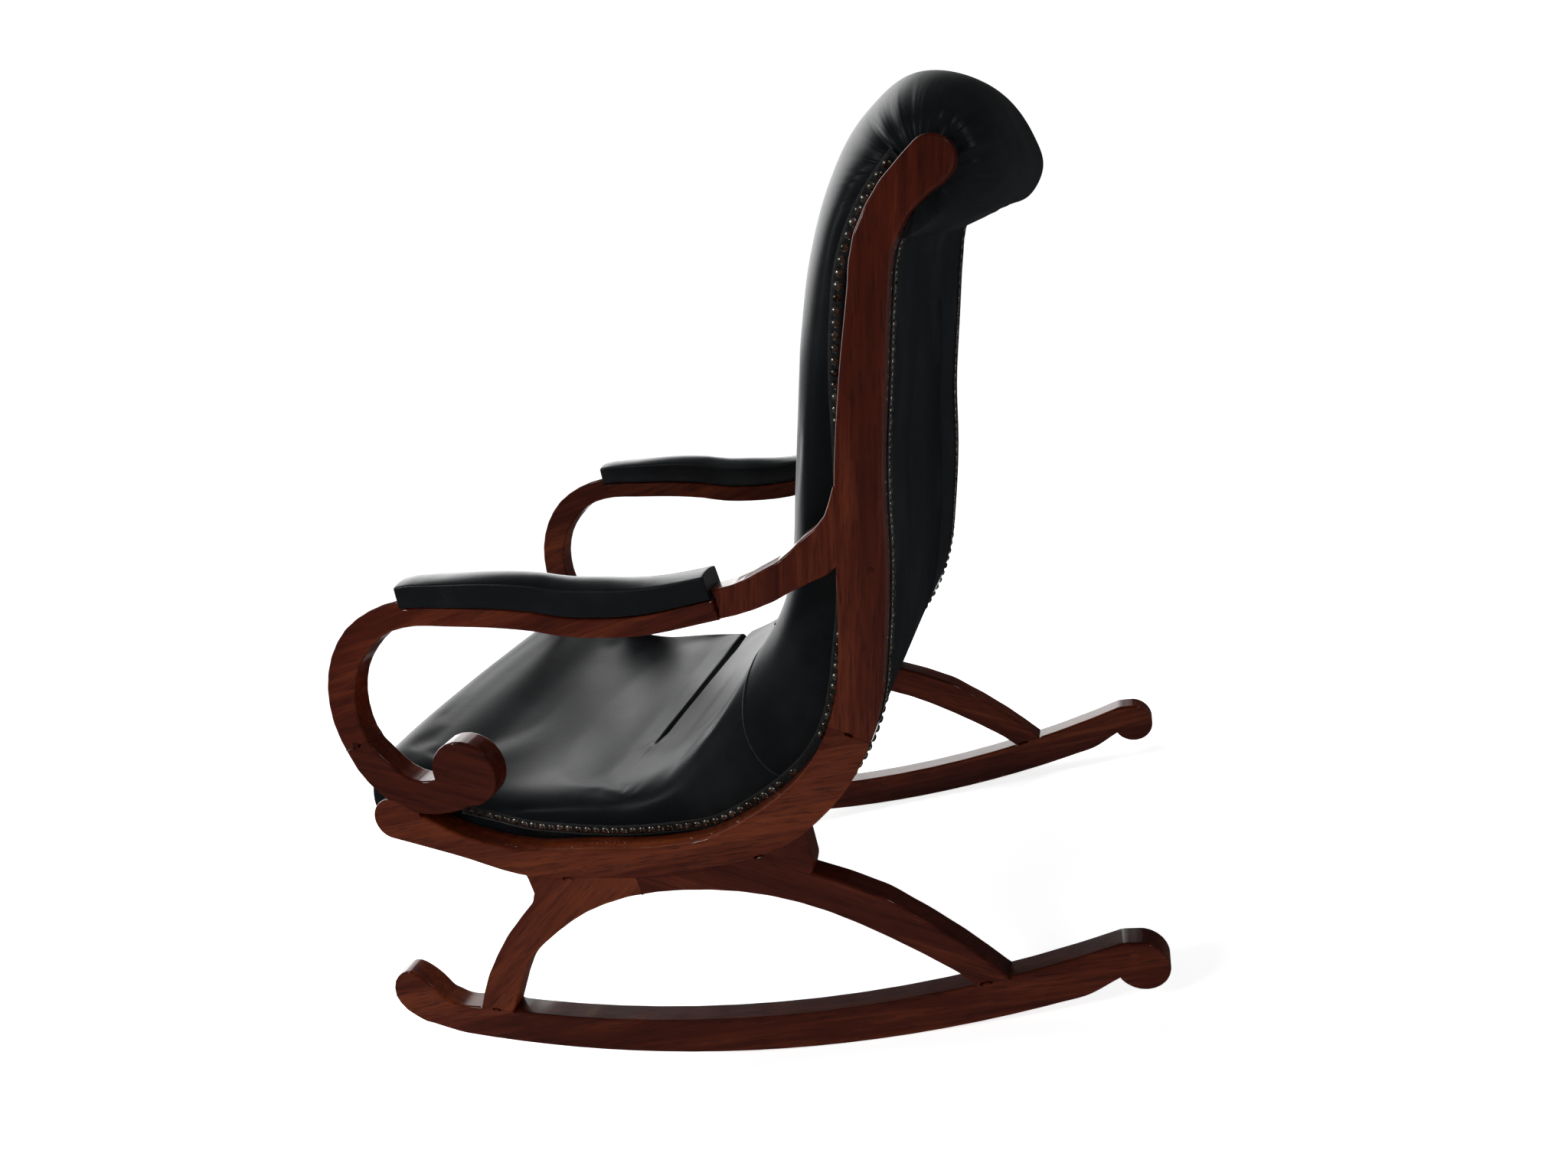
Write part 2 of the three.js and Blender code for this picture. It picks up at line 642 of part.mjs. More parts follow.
const chair = new THREE.Group();
chair.add(...makeSide('left', 1), ...makeSide('right', -1));
for (const [name, range] of Object.entries(crossRailShares)) {
  chair.add(mesh(name, beech, makeCrossRail(range)));
}
chair.add(...makeStraps('seat', seatStrapShares), ...makeStraps('back', backStrapShares));
chair.add(mesh('seat_cushion', leather, makeSeatCushion()));
chair.add(mesh('back_cushion', leather, makeBackCushion()));
chair.add(mesh('head_roll', leather, makeHeadRoll()));
chair.add(mesh('outside_back', leather, makeOutsideBack()));
chair.add(mesh('dust_cover', cloth, makeDustCover()));

// At rest the chair leans until its weight is over the contact, and stands centred at Z = 0
chair.rotation.x = THREE.MathUtils.degToRad(restTilt);
const extent = new THREE.Box3().setFromObject(chair, true);
chair.position.set(0, -(extent.min.y + extent.max.y) / 2, -extent.min.z);

export default chair;
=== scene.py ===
import json
import random
from bisect import bisect_right
from math import atan2, ceil, cos, exp, pi, radians, sin

import bmesh
import bpy
from mathutils import Matrix, Vector, noise
from mathutils.bvhtree import BVHTree


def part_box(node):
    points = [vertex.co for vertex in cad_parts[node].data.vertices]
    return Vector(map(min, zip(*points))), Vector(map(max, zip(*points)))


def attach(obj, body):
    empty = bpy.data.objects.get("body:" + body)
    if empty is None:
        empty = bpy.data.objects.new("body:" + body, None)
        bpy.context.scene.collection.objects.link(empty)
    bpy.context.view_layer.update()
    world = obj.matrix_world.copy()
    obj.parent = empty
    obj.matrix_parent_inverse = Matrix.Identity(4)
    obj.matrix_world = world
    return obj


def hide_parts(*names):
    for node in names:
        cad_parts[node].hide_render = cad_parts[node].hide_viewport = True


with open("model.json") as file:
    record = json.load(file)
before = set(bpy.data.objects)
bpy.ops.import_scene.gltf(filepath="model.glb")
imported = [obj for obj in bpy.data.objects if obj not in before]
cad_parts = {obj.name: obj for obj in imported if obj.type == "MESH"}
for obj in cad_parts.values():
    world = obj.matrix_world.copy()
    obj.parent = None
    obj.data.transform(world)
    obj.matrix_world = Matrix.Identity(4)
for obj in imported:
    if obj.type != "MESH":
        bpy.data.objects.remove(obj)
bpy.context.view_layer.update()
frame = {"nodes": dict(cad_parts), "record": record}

hands = {"left": 1, "right": -1}
mm = 0.001
tiny = 1e-6
lineStep = 2 * mm   # between the points of lines that pieces follow

# The side view was drawn upright in millimetres. The chair leans a little about X when it stands.
stance = {"lean": radians(-1.96), "back": 35.758, "up": 0.08}


def sidePoint(y, z):
    lean = stance["lean"]
    back = y * cos(lean) - z * sin(lean) + stance["back"]
    up = y * sin(lean) + z * cos(lean) + stance["up"]
    return Vector((back, up)) * mm


def at(x, point):
    return Vector((x, point.x, point.y))


def lerp(low, high, share):
    return low + (high - low) * share


def fade(value, low, high):
    # 0 below low, 1 above high, smooth between
    share = min(1, max(0, (value - low) / (high - low)))
    return share * share * (3 - 2 * share)


def bump(value, middle, width):
    return exp(-((value - middle) / width) ** 2)


# Camera, floor and light
studio = {
    "cameraAt": (1.26101, 0.53233, 0.73070), "cameraTurn": (78.0637, 21.0149, 107.6833),
    "lens": 26.684, "sensor": 36, "shift": (0.02295, -0.01611),
    "floorSize": 400, "floorDrop": 0.4 * mm, "floorGlow": 0.82,
    "floorPlain": {"Base Color": (0.8, 0.8, 0.8, 1), "Roughness": 0.9, "Specular IOR Level": 0.0},
    # One broad window, ahead of the chair and on its right
    "windowTowards": (-0.77, -0.56, 0.31), "windowLight": 2.8, "roomLight": 0.03,
    "windowFrom": 0.78, "windowTo": 0.93, "backdrop": 1.05,
}
lamps = {
    "top": {"at": (-0.7, -0.5, 2.5), "to": (0, 0, 0.3), "size": 1.5, "power": 40, "gloss": False},
    "front": {"at": (-0.7, -2.6, 1.7), "to": (0, 0, 0.5), "size": 1.3, "power": 40, "gloss": False},
    "near": {"at": (2.3, -1.5, 2.2), "to": (0, 0, 0.4), "size": 0.8, "power": 16, "gloss": False},
    # Two small ones for the glints on the nails
    "glint": {"at": (2.1, -1.7, 2.2), "to": (0, 0, 0.4), "size": 0.3, "power": 9, "gloss": True},
    "rear": {"at": (1.3, 2.2, 1.9), "to": (0, 0.2, 0.5), "size": 0.25, "power": 4, "gloss": True},
}


def makeStudio():
    scene = bpy.context.scene
    lens = bpy.data.cameras.new("camera")
    lens.sensor_width, lens.lens = studio["sensor"], studio["lens"]
    lens.shift_x, lens.shift_y = studio["shift"]
    camera = bpy.data.objects.new("camera", lens)
    camera.location = studio["cameraAt"]
    camera.rotation_euler = [radians(angle) for angle in studio["cameraTurn"]]
    scene.collection.objects.link(camera)
    scene.camera = camera
    scene.view_settings.view_transform = "Standard"

    # A bright window in a dim room, and a plain white backdrop all round
    world = bpy.data.worlds.new("studio")
    world.use_nodes = True
    scene.world = world
    nodes, links = world.node_tree.nodes, world.node_tree.links
    place = nodes.new("ShaderNodeTexCoord")
    towards = nodes.new("ShaderNodeVectorMath")
    towards.operation = "DOT_PRODUCT"
    towards.inputs[1].default_value = studio["windowTowards"]
    ramp = nodes.new("ShaderNodeMapRange")
    ramp.interpolation_type = "SMOOTHSTEP"
    limits = {"From Min": studio["windowFrom"], "From Max": studio["windowTo"],
              "To Min": studio["roomLight"], "To Max": studio["windowLight"]}
    for socket, value in limits.items():
        ramp.inputs[socket].default_value = value
    rays = nodes.new("ShaderNodeLightPath")
    choice = nodes.new("ShaderNodeMix")
    choice.inputs["B"].default_value = studio["backdrop"]
    links.new(place.outputs["Generated"], towards.inputs[0])
    links.new(towards.outputs["Value"], ramp.inputs["Value"])
    links.new(ramp.outputs["Result"], choice.inputs["A"])
    links.new(rays.outputs["Is Camera Ray"], choice.inputs["Factor"])
    links.new(choice.outputs["Result"], nodes["Background"].inputs["Strength"])
    nodes["Background"].inputs["Color"].default_value = (1, 1, 1, 1)

    bm = bmesh.new()
    bmesh.ops.create_grid(bm, x_segments=1, y_segments=1, size=studio["floorSize"] / 2)
    bmesh.ops.translate(bm, verts=bm.verts, vec=(0, 0, -studio["floorDrop"]))
    floor = finished("floor", bm)
    glow = {"Emission Color": (1, 1, 1, 1), "Emission Strength": studio["floorGlow"]}
    floor.data.materials.append(Finish("floor", {**studio["floorPlain"], **glow}).material)
    floor.visible_glossy = False

    for name, lamp in lamps.items():
        light = bpy.data.lights.new(name, "AREA")
        light.shape, light.size, light.energy = "SQUARE", lamp["size"], lamp["power"]
        holder = bpy.data.objects.new(name, light)
        holder.location = lamp["at"]
        holder.visible_glossy = lamp["gloss"]
        aim = Vector(lamp["to"]) - Vector(lamp["at"])
        holder.rotation_euler = aim.to_track_quat("-Z", "Y").to_euler()
        scene.collection.objects.link(holder)


# Materials
class Wire:
    # A socket that takes part in Python sums
    def __init__(self, finish, socket):
        self.finish, self.socket = finish, socket

    def sum(self, operation, first, second):
        return self.finish.node("Math", {"operation": operation}, {0: first, 1: second})

    def __add__(self, other):
        return self.sum("ADD", self, other)

    def __radd__(self, other):
        return self.sum("ADD", other, self)

    def __sub__(self, other):
        return self.sum("SUBTRACT", self, other)

    def __rsub__(self, other):
        return self.sum("SUBTRACT", other, self)

    def __mul__(self, other):
        return self.sum("MULTIPLY", self, other)

    def __rmul__(self, other):
        return self.sum("MULTIPLY", other, self)


class Finish:
    # A material, built up node by node
    def __init__(self, name, plain):
        self.material = bpy.data.materials.new(name)
        self.material.use_nodes = True
        self.tree = self.material.node_tree
        self.shader = self.tree.nodes["Principled BSDF"]
        for socket, value in plain.items():
            self.shader.inputs[socket].default_value = value

    def feed(self, socket, value):
        if isinstance(value, Wire):
            self.tree.links.new(value.socket, socket)
        else:
            socket.default_value = value

    def node(self, kind, settings=None, sockets=None, out=0):
        made = self.tree.nodes.new("ShaderNode" + kind)
        for name, value in (settings or {}).items():
            if name == "stops":
                ramp = made.color_ramp
                while len(ramp.elements) < len(value):
                    ramp.elements.new(0)
                for element, (place, color) in zip(ramp.elements, value):
                    element.position, element.color = place, color
            else:
                setattr(made, name, value)
        for name, value in (sockets or {}).items():
            self.feed(made.inputs[name], value)
        return Wire(self, made.outputs[out])

    def set(self, socket, wire):
        self.feed(self.shader.inputs[socket], wire)

    def place(self, turn=0, scale=(1, 1, 1), shift=(0, 0, 0)):
        # Object coordinates, turned about X and then stretched
        here = self.node("TexCoord", out="Object")
        turned = self.node("Mapping", None, {"Vector": here, "Location": shift, "Rotation": (turn, 0, 0)})
        return self.node("Mapping", None, {"Vector": turned, "Scale": scale})

    def noise(self, place, scale, detail=2, rough=0.5, warp=0):
        sockets = {"Vector": place, "Scale": scale, "Detail": detail, "Roughness": rough, "Distortion": warp}
        return self.node("TexNoise", None, sockets)

    def ramp(self, wire, stopShares, colors):
        return self.node("ValToRGB", {"stops": list(zip(stopShares, colors))}, {"Fac": wire})

    def between(self, wire, low, high, bottom=0, top=1):
        sockets = {"Value": wire, "From Min": low, "From Max": high, "To Min": bottom, "To Max": top}
        return self.node("MapRange", {"interpolation_type": "SMOOTHSTEP"}, sockets)

    def mix(self, share, first, second):
        return self.node("Mix", {"data_type": "RGBA"}, {0: share, 6: first, 7: second}, out=2)

    def bump(self, wire, strength, distance):
        sockets = {"Height": wire, "Strength": strength, "Distance": distance}
        self.set("Normal", self.node("Bump", None, sockets))


# Each noise of a look has a scale, a detail, a roughness and a warp
mahoganyLook = {
    # Grain angles in degrees, as the boards would be laid out
    "grain": {"back_post": 70, "seat_rail": -3, "arm_rail": 2, "arm_scroll": -28, "front_leg": 30,
              "rear_leg": -32, "rocker": 0, "post_plug": 0, "rail_plug": 0},
    "shift": (0.1, 0.37, 0),    # keeps the grain of one kind of piece from the next
    "dark": (0.014, 0.0018, 0.0010, 1), "red": (0.060, 0.0080, 0.0026, 1),
    "warm": (0.150, 0.0290, 0.0060, 1), "worn": (0.42, 0.30, 0.20, 1), "stopShares": (0.30, 0.50, 0.70),
    "polish": {"Coat Weight": 0.6, "Coat Roughness": 0.06, "Specular IOR Level": 0.15},
    "figure": (9, 3, 0.55, 0.9), "streak": (150, 4, 0.6, 0.3), "pores": (620, 2, 0.5),
    "alongShare": 0.055, "figureShare": 0.62, "streakShare": 0.38, "poreShare": 0.55,
    "poreFrom": (0.56, 0.66), "rough": 0.27, "roughShare": 0.10, "relief": (0.12, 0.3 * mm),
    # Chips and scratches low on the rockers
    "chips": (190, 3, 0.7), "runs": (34, 1), "chipStretch": (1, 0.5, 1), "runStretch": (1, 0.12, 1),
    "chipHeight": (4 * mm, 16 * mm), "chipFrom": (0.655, 0.69), "runFrom": (0.50, 0.58),
    "wornShare": 0.8, "wornRoughShare": 0.35,
}


def makeMahogany(piece, scuffed=False):
    look = mahoganyLook
    finish = Finish(f"mahogany_{piece}", look["polish"])
    shift = [step * len(piece) for step in look["shift"]]
    along = finish.place(-radians(look["grain"][piece]), (1, look["alongShare"], 1), shift)
    figure, streak, pores = (finish.noise(along, *look[kind]) for kind in ("figure", "streak", "pores"))
    tone = look["figureShare"] * figure + look["streakShare"] * streak
    color = finish.ramp(tone, look["stopShares"], (look["dark"], look["red"], look["warm"]))
    deep = finish.between(pores, *look["poreFrom"])
    color = finish.mix(look["poreShare"] * deep, color, look["dark"])
    rough = look["rough"] + look["roughShare"] * streak + look["roughShare"] * deep
    if scuffed:
        here = finish.node("TexCoord", out="Object")
        height = finish.node("SeparateXYZ", None, {0: here}, out="Z")
        low = finish.between(height, *look["chipHeight"], 1, 0)
        chips = finish.noise(finish.place(0, look["chipStretch"]), *look["chips"])
        runs = finish.noise(finish.place(0, look["runStretch"]), *look["runs"])
        mark = low * finish.between(chips, *look["chipFrom"]) * finish.between(runs, *look["runFrom"])
        color = finish.mix(look["wornShare"] * mark, color, look["worn"])
        rough = rough + look["wornRoughShare"] * mark
    finish.set("Base Color", color)
    finish.set("Roughness", rough)
    finish.bump(0.5 * streak + 0.5 * (1 - deep), *look["relief"])
    return finish.material


leatherLook = {
    "base": (0.0042, 0.0056, 0.0070, 1), "worn": (0.0105, 0.0125, 0.0140, 1), "wornFrom": (0.42, 0.75),
    "pebbles": {"Scale": 620, "Smoothness": 0.6}, "fine": (1054, 2), "patch": (9, 3, 0.6),
    "folds": (30, 4, 0.55, 0.6), "pebbleShare": 0.30, "fineShare": 0.10, "foldShare": 0.7,
    "roughPatchShare": 0.12, "roughPebbleShare": 0.05, "relief": (0.30, 0.9 * mm),
    # Gathers fan out round the top of each post and fade before the middle of the head
    "fanAt": (331, 798), "fan": (5.2, 2, 0.6), "fanInner": 30 * mm, "fanOuter": 95 * mm,
    "fanFrom": 150 * mm, "fanTo": 225 * mm, "fanStrength": 4, "fanRidge": (0.36, 0.64), "alongRayShare": 0.6,
}


def makeLeather(name, rough, shine, gathers=False):
    look = leatherLook
    finish = Finish(name, {"Specular IOR Level": shine})
    here = finish.place()
    pebble = finish.node("TexVoronoi", {"feature": "SMOOTH_F1"}, {"Vector": here, **look["pebbles"]},
                         out="Distance")
    fine, patch, folds = (finish.noise(here, *look[kind]) for kind in ("fine", "patch", "folds"))
    worn = finish.between(patch, *look["wornFrom"])
    finish.set("Base Color", finish.mix(worn, look["base"], look["worn"]))
    finish.set("Roughness", rough + look["roughPatchShare"] * patch + look["roughPebbleShare"] * pebble)
    relief = look["pebbleShare"] * pebble + look["fineShare"] * fine + look["foldShare"] * folds
    if gathers:
        relief = relief + look["fanStrength"] * gatherLines(finish)
    finish.bump(relief, *look["relief"])
    return finish.material


def gatherLines(finish):
    # Narrow ridges along rays from the top of the post, each with its own length
    look = leatherLook
    center = sidePoint(*look["fanAt"])
    here = finish.node("TexCoord", out="Object")
    x, y, z = (finish.node("SeparateXYZ", None, {0: here}, out=axis) for axis in "XYZ")
    y, z = y - center.x, z - center.y
    angle = finish.node("Math", {"operation": "ARCTAN2"}, {0: z, 1: y})
    reach = finish.node("Math", {"operation": "SQRT"}, {0: y * y + z * z})
    aside = finish.node("Math", {"operation": "ABSOLUTE"}, {0: x})
    ray = finish.node("CombineXYZ", None, {"X": angle, "Y": look["alongRayShare"] * reach, "Z": x})
    ridge = finish.between(finish.noise(ray, *look["fan"]), *look["fanRidge"])
    near = finish.between(reach, look["fanInner"], look["fanOuter"], 1, 0)
    return ridge * near * finish.between(aside, look["fanFrom"], look["fanTo"])


clothLook = {
    "plain": {"Roughness": 0.85, "Sheen Weight": 0.2}, "patch": (40, 3), "weaveShare": 0.7,
    "patchShare": 0.3, "stopShares": (0.25, 0.75), "relief": (0.4, 0.4 * mm),
}


def makeCloth(name, dark, light, threads):
    # A plain weave on object coordinates
    look = clothLook
    finish = Finish(name, look["plain"])
    here = finish.place()
    weave = [finish.node("TexWave", {"bands_direction": axis}, {"Vector": here, "Scale": threads})
             for axis in "XY"]
    cloth = 0.5 * weave[0] + 0.5 * weave[1]
    shade = look["weaveShare"] * cloth + look["patchShare"] * finish.noise(here, *look["patch"])
    finish.set("Base Color", finish.ramp(shade, look["stopShares"], (dark, light)))
    finish.bump(cloth, *look["relief"])
    return finish.material


grained = {
    "beech": {"plain": {"Roughness": 0.62}, "stretch": (0.06, 1, 1), "noise": (60, 4, 0.6),
              "stopShares": (0.35, 0.65), "colors": ((0.30, 0.17, 0.075, 1), (0.50, 0.32, 0.16, 1)),
              "relief": (0.2, 0.4 * mm)},
    "braid": {"plain": {"Roughness": 0.6, "Sheen Weight": 0.15}, "stretch": (1, 1, 1), "noise": (520, 2, 0.5),
              "stopShares": (0.4, 0.7), "colors": ((0.004, 0.004, 0.005, 1), (0.016, 0.016, 0.017, 1)),
              "relief": (0.5, 0.6 * mm)},
}


def makeGrained(name):
    # One noise gives both the colour and the relief
    look = grained[name]
    finish = Finish(name, look["plain"])
    grain = finish.noise(finish.place(0, look["stretch"]), *look["noise"])
    finish.set("Base Color", finish.ramp(grain, look["stopShares"], look["colors"]))
    finish.bump(grain, *look["relief"])
    return finish.material


metalLook = {
    "tarnish": (120, 4, 0.65), "dents": (900, 2), "stopShares": (0.38, 0.60), "roughShare": 0.25,
    "relief": (0.15, 0.2 * mm),
}


def makeMetal(name, dark, light, rough):
    look = metalLook
    finish = Finish(name, {"Metallic": 1.0})
    tarnish = finish.noise(finish.place(), *look["tarnish"])
    finish.set("Base Color", finish.ramp(tarnish, look["stopShares"], (dark, light)))
    finish.set("Roughness", rough + look["roughShare"] * tarnish)
    finish.bump(finish.noise(finish.place(), *look["dents"]), *look["relief"])
    return finish.material


# Meshes
def finished(name, bm, material=None):
    for face in bm.faces:
        face.smooth = True
    data = bpy.data.meshes.new(name)
    bm.to_mesh(data)
    bm.free()
    piece = bpy.data.objects.new(name, data)
    bpy.context.scene.collection.objects.link(piece)
    if material:
        data.materials.append(material)
    return piece


def applyModifiers(piece):
    view = bpy.context.evaluated_depsgraph_get()
    made = bpy.data.meshes.new_from_object(piece.evaluated_get(view), depsgraph=view)
    old = piece.data
    piece.modifiers.clear()
    piece.data = made
    bpy.data.meshes.remove(old)
    made.name = piece.name


def subdivide(piece, levels):
    finer = piece.modifiers.new("finer", "SUBSURF")
    finer.levels = finer.render_levels = levels
    applyModifiers(piece)


def settle(piece, slotName, *nodes):
    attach(piece, "root")
    if nodes:
        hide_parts(*nodes)
    return piece


def curveThrough(points, step, closed=False):
    # A smooth line through the points, with a point every step or so
    count = len(points)
    chords = [points[(i + 1) % count] - points[i] for i in range(count if closed else count - 1)]
    slopes = []
    for i in range(count):
        if closed or 0 < i < count - 1:
            before, after = chords[i - 1], chords[i]
            slope = before.normalized() * after.length + after.normalized() * before.length
            slopes.append(slope.normalized())
        else:
            slopes.append(None)
    if not closed:
        for end, inner in ((0, 1), (-1, -2)):
            chord = chords[end].normalized()
            known = slopes[inner] or chord
            slopes[end] = chord * (2 * chord.dot(known)) - known
    line = []
    for i, chord in enumerate(chords):
        start, finish = points[i], points[(i + 1) % count]
        leave, arrive = slopes[i] * chord.length, slopes[(i + 1) % count] * chord.length
        parts = max(1, ceil(chord.length / step))
        for part in range(parts):
            t = part / parts
            line.append(start * (2 * t ** 3 - 3 * t ** 2 + 1) + leave * (t ** 3 - 2 * t ** 2 + t)
                        + finish * (3 * t ** 2 - 2 * t ** 3) + arrive * (t ** 3 - t ** 2))
    return line if closed else line + [points[-1]]


section = {"weld": 5e-6, "shortest": 0.4 * mm}


def sectionOf(name, x):
    # The outer outline that an upright plane at x cuts from a CAD piece, as points of the side view
    bm = bmesh.new()
    bm.from_mesh(frame["nodes"][name].data)
    bmesh.ops.remove_doubles(bm, verts=bm.verts, dist=section["weld"])
    geom = bm.verts[:] + bm.edges[:] + bm.faces[:]
    bmesh.ops.bisect_plane(bm, geom=geom, plane_co=(x, 0, 0), plane_no=(1, 0, 0),
                           clear_inner=True, clear_outer=True)
    left, loops = dict.fromkeys(bm.edges), []   # not a set, which has another order in each run
    while left:
        edge, _ = left.popitem()
        loop = [edge.verts[0], edge.verts[1]]
        while True:
            onward = next((e for e in loop[-1].link_edges if e in left), None)
            if onward is None:
                break
            left.pop(onward)
            loop.append(onward.other_vert(loop[-1]))
        loops.append([Vector((v.co.y, v.co.z)) for v in loop[:-1]])
    bm.free()
    longest = max(loops, key=lambda loop: sum((a - b).length for a, b in zip(loop, loop[1:])))
    outline = [p for i, p in enumerate(longest) if (p - longest[i - 1]).length > section["shortest"]]
    area = sum(a.x * b.y - b.x * a.y for a, b in zip(outline, outline[1:] + outline[:1]))
    return outline if area > 0 else outline[::-1]


def turnsOf(points):
    # How far a closed line turns at each point
    count = len(points)
    return [(points[i] - points[i - 1]).angle(points[(i + 1) % count] - points[i]) for i in range(count)]


def runsBetween(points, corners):
    ends = corners[1:] + [corners[0] + len(points)]
    return [[points[i % len(points)] for i in range(start, end + 1)] for start, end in zip(corners, ends)]


def smoothOutline(points, step, cornerAngle):
    # Rounds the facets of an outline and keeps its corners
    corners = [i for i, turn in enumerate(turnsOf(points)) if turn > cornerAngle]
    if not corners:
        return curveThrough(points, step, closed=True)
    line = []
    for run in runsBetween(points, corners):
        line += curveThrough(run, step)[:-1]
    return line


class EdgeLine:
    # A closed line of the side view, anticlockwise, measured along its length
    def __init__(self, points):
        self.points = points
        count = len(points)
        self.marks = [0]
        for i in range(count):
            self.marks.append(self.marks[-1] + (points[(i + 1) % count] - points[i]).length)
        self.length = self.marks[-1]
        self.outward = []
        for i in range(count):
            along = (points[(i + 1) % count] - points[i - 1]).normalized()
            self.outward.append(Vector((along.y, -along.x)))

    def at(self, distance, grow=0):
        distance %= self.length
        i = min(bisect_right(self.marks, distance) - 1, len(self.points) - 1)
        share = (distance - self.marks[i]) / (self.marks[i + 1] - self.marks[i])
        nextOne = (i + 1) % len(self.points)
        outward = lerp(self.outward[i], self.outward[nextOne], share).normalized()
        return lerp(self.points[i], self.points[nextOne], share) + outward * grow

    def outwardAt(self, distance):
        return (self.at(distance, 1) - self.at(distance)).normalized()

    def near(self, point):
        i = min(range(len(self.points)), key=lambda k: (self.points[k] - point).length_squared)
        return self.marks[i]


# The boards that carry the upholstery give the line that leather, bands and nails follow
board = {"node": "upholstery_side_left", "at": 240 * mm, "step": 4 * mm, "corner": radians(40)}
boardOutline = smoothOutline(sectionOf(board["node"], board["at"]), board["step"], board["corner"])
upholsteryEdge = EdgeLine(boardOutline)


def edgeNear(y, z):
    return upholsteryEdge.near(sidePoint(y, z))


# Sawn side frames
sawn = {
    "names": ("back_post", "seat_rail", "arm_rail", "arm_scroll", "front_leg", "rear_leg", "rocker"),
    "aside": 9 * mm,   # the section is taken beside the dowels
    "step": 4 * mm, "corner": radians(27), "ease": 3.0 * mm, "easeSteps": 4, "easeProfile": 0.5,
    "jointReach": 1.3 * mm, "sharp": radians(38),
}


def meetingTrees(hand):
    trees = {}
    for name in sawn["names"]:
        bm = bmesh.new()
        bm.from_mesh(frame["nodes"][f"{name}_{hand}"].data)
        trees[name] = BVHTree.FromBMesh(bm)
        bm.free()
    return trees


def thinArm(bm, hand, middle):
    # The arm thins from the middle of its pad to the front of it
    padLow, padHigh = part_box(f"arm_pad_{hand}")
    postLow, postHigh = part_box(f"back_post_{hand}")
    armLow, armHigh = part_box(f"arm_rail_{hand}")
    thin = (postHigh.x - postLow.x) / (armHigh.x - armLow.x)
    padMiddle = (padLow.y + padHigh.y) / 2
    for vert in bm.verts:
        share = lerp(thin, 1, min(1, max(0, (vert.co.y - padLow.y) / (padMiddle - padLow.y))))
        vert.co.x = middle + (vert.co.x - middle) * share


def makeSawn(name, hand, trees, material):
    node = f"{name}_{hand}"
    lo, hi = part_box(node)
    middle = (lo.x + hi.x) / 2
    outline = smoothOutline(sectionOf(node, middle + sawn["aside"]), sawn["step"], sawn["corner"])
    bm = bmesh.new()
    face = bm.faces.new([bm.verts.new(at(lo.x, p)) for p in outline])
    grown = bmesh.ops.extrude_face_region(bm, geom=[face])["geom"]
    far = [v for v in grown if isinstance(v, bmesh.types.BMVert)]
    bmesh.ops.translate(bm, verts=far, vec=(hi.x - lo.x, 0, 0))
    bmesh.ops.recalc_face_normals(bm, faces=bm.faces)

    # Edges where another board meets this one stay crisp
    others = [tree for other, tree in trees.items() if other != name]
    eased = []
    for edge in bm.edges:
        a, b = (v.co for v in edge.verts)
        if abs(a.x - b.x) > tiny:
            continue
        inside = Vector((middle, (a.y + b.y) / 2, (a.z + b.z) / 2))
        if not any(tree.find_nearest(inside, sawn["jointReach"])[0] for tree in others):
            eased.append(edge)
    if name == "arm_rail":
        thinArm(bm, hand, middle)
    bmesh.ops.bevel(bm, geom=eased, offset=sawn["ease"], offset_type="OFFSET", segments=sawn["easeSteps"],
                    profile=sawn["easeProfile"], affect="EDGES", material=-1, clamp_overlap=False)
    for edge in bm.edges:
        edge.smooth = not edge.is_manifold or edge.calc_face_angle(0) < sawn["sharp"]
    piece = finished(f"{node}_board", bm, material)
    weighted = piece.modifiers.new("weighted", "WEIGHTED_NORMAL")
    weighted.keep_sharp = True
    return settle(piece, "mahogany", node)


plugs = {
    "radius": 3.6 * mm, "rise": 0.5 * mm, "sides": 20, "rings": 10, "over": ("post_plug", "rail_plug"),
    "extra": {"arm_plug": (-15.7, 489.2), "scroll_plug": (-429.1, 440.8), "tail_plug": (316.7, 67.2)},
}


def makePlug(name, center, material, *nodes):
    # A shallow dome that covers a screw
    bm = bmesh.new()
    bmesh.ops.create_uvsphere(bm, u_segments=plugs["sides"], v_segments=plugs["rings"], radius=1)
    size = Matrix.Diagonal((plugs["rise"], plugs["radius"], plugs["radius"], 1))
    bmesh.ops.transform(bm, matrix=Matrix.Translation(center) @ size, verts=bm.verts)
    return settle(finished(name, bm, material), "mahogany", *nodes)


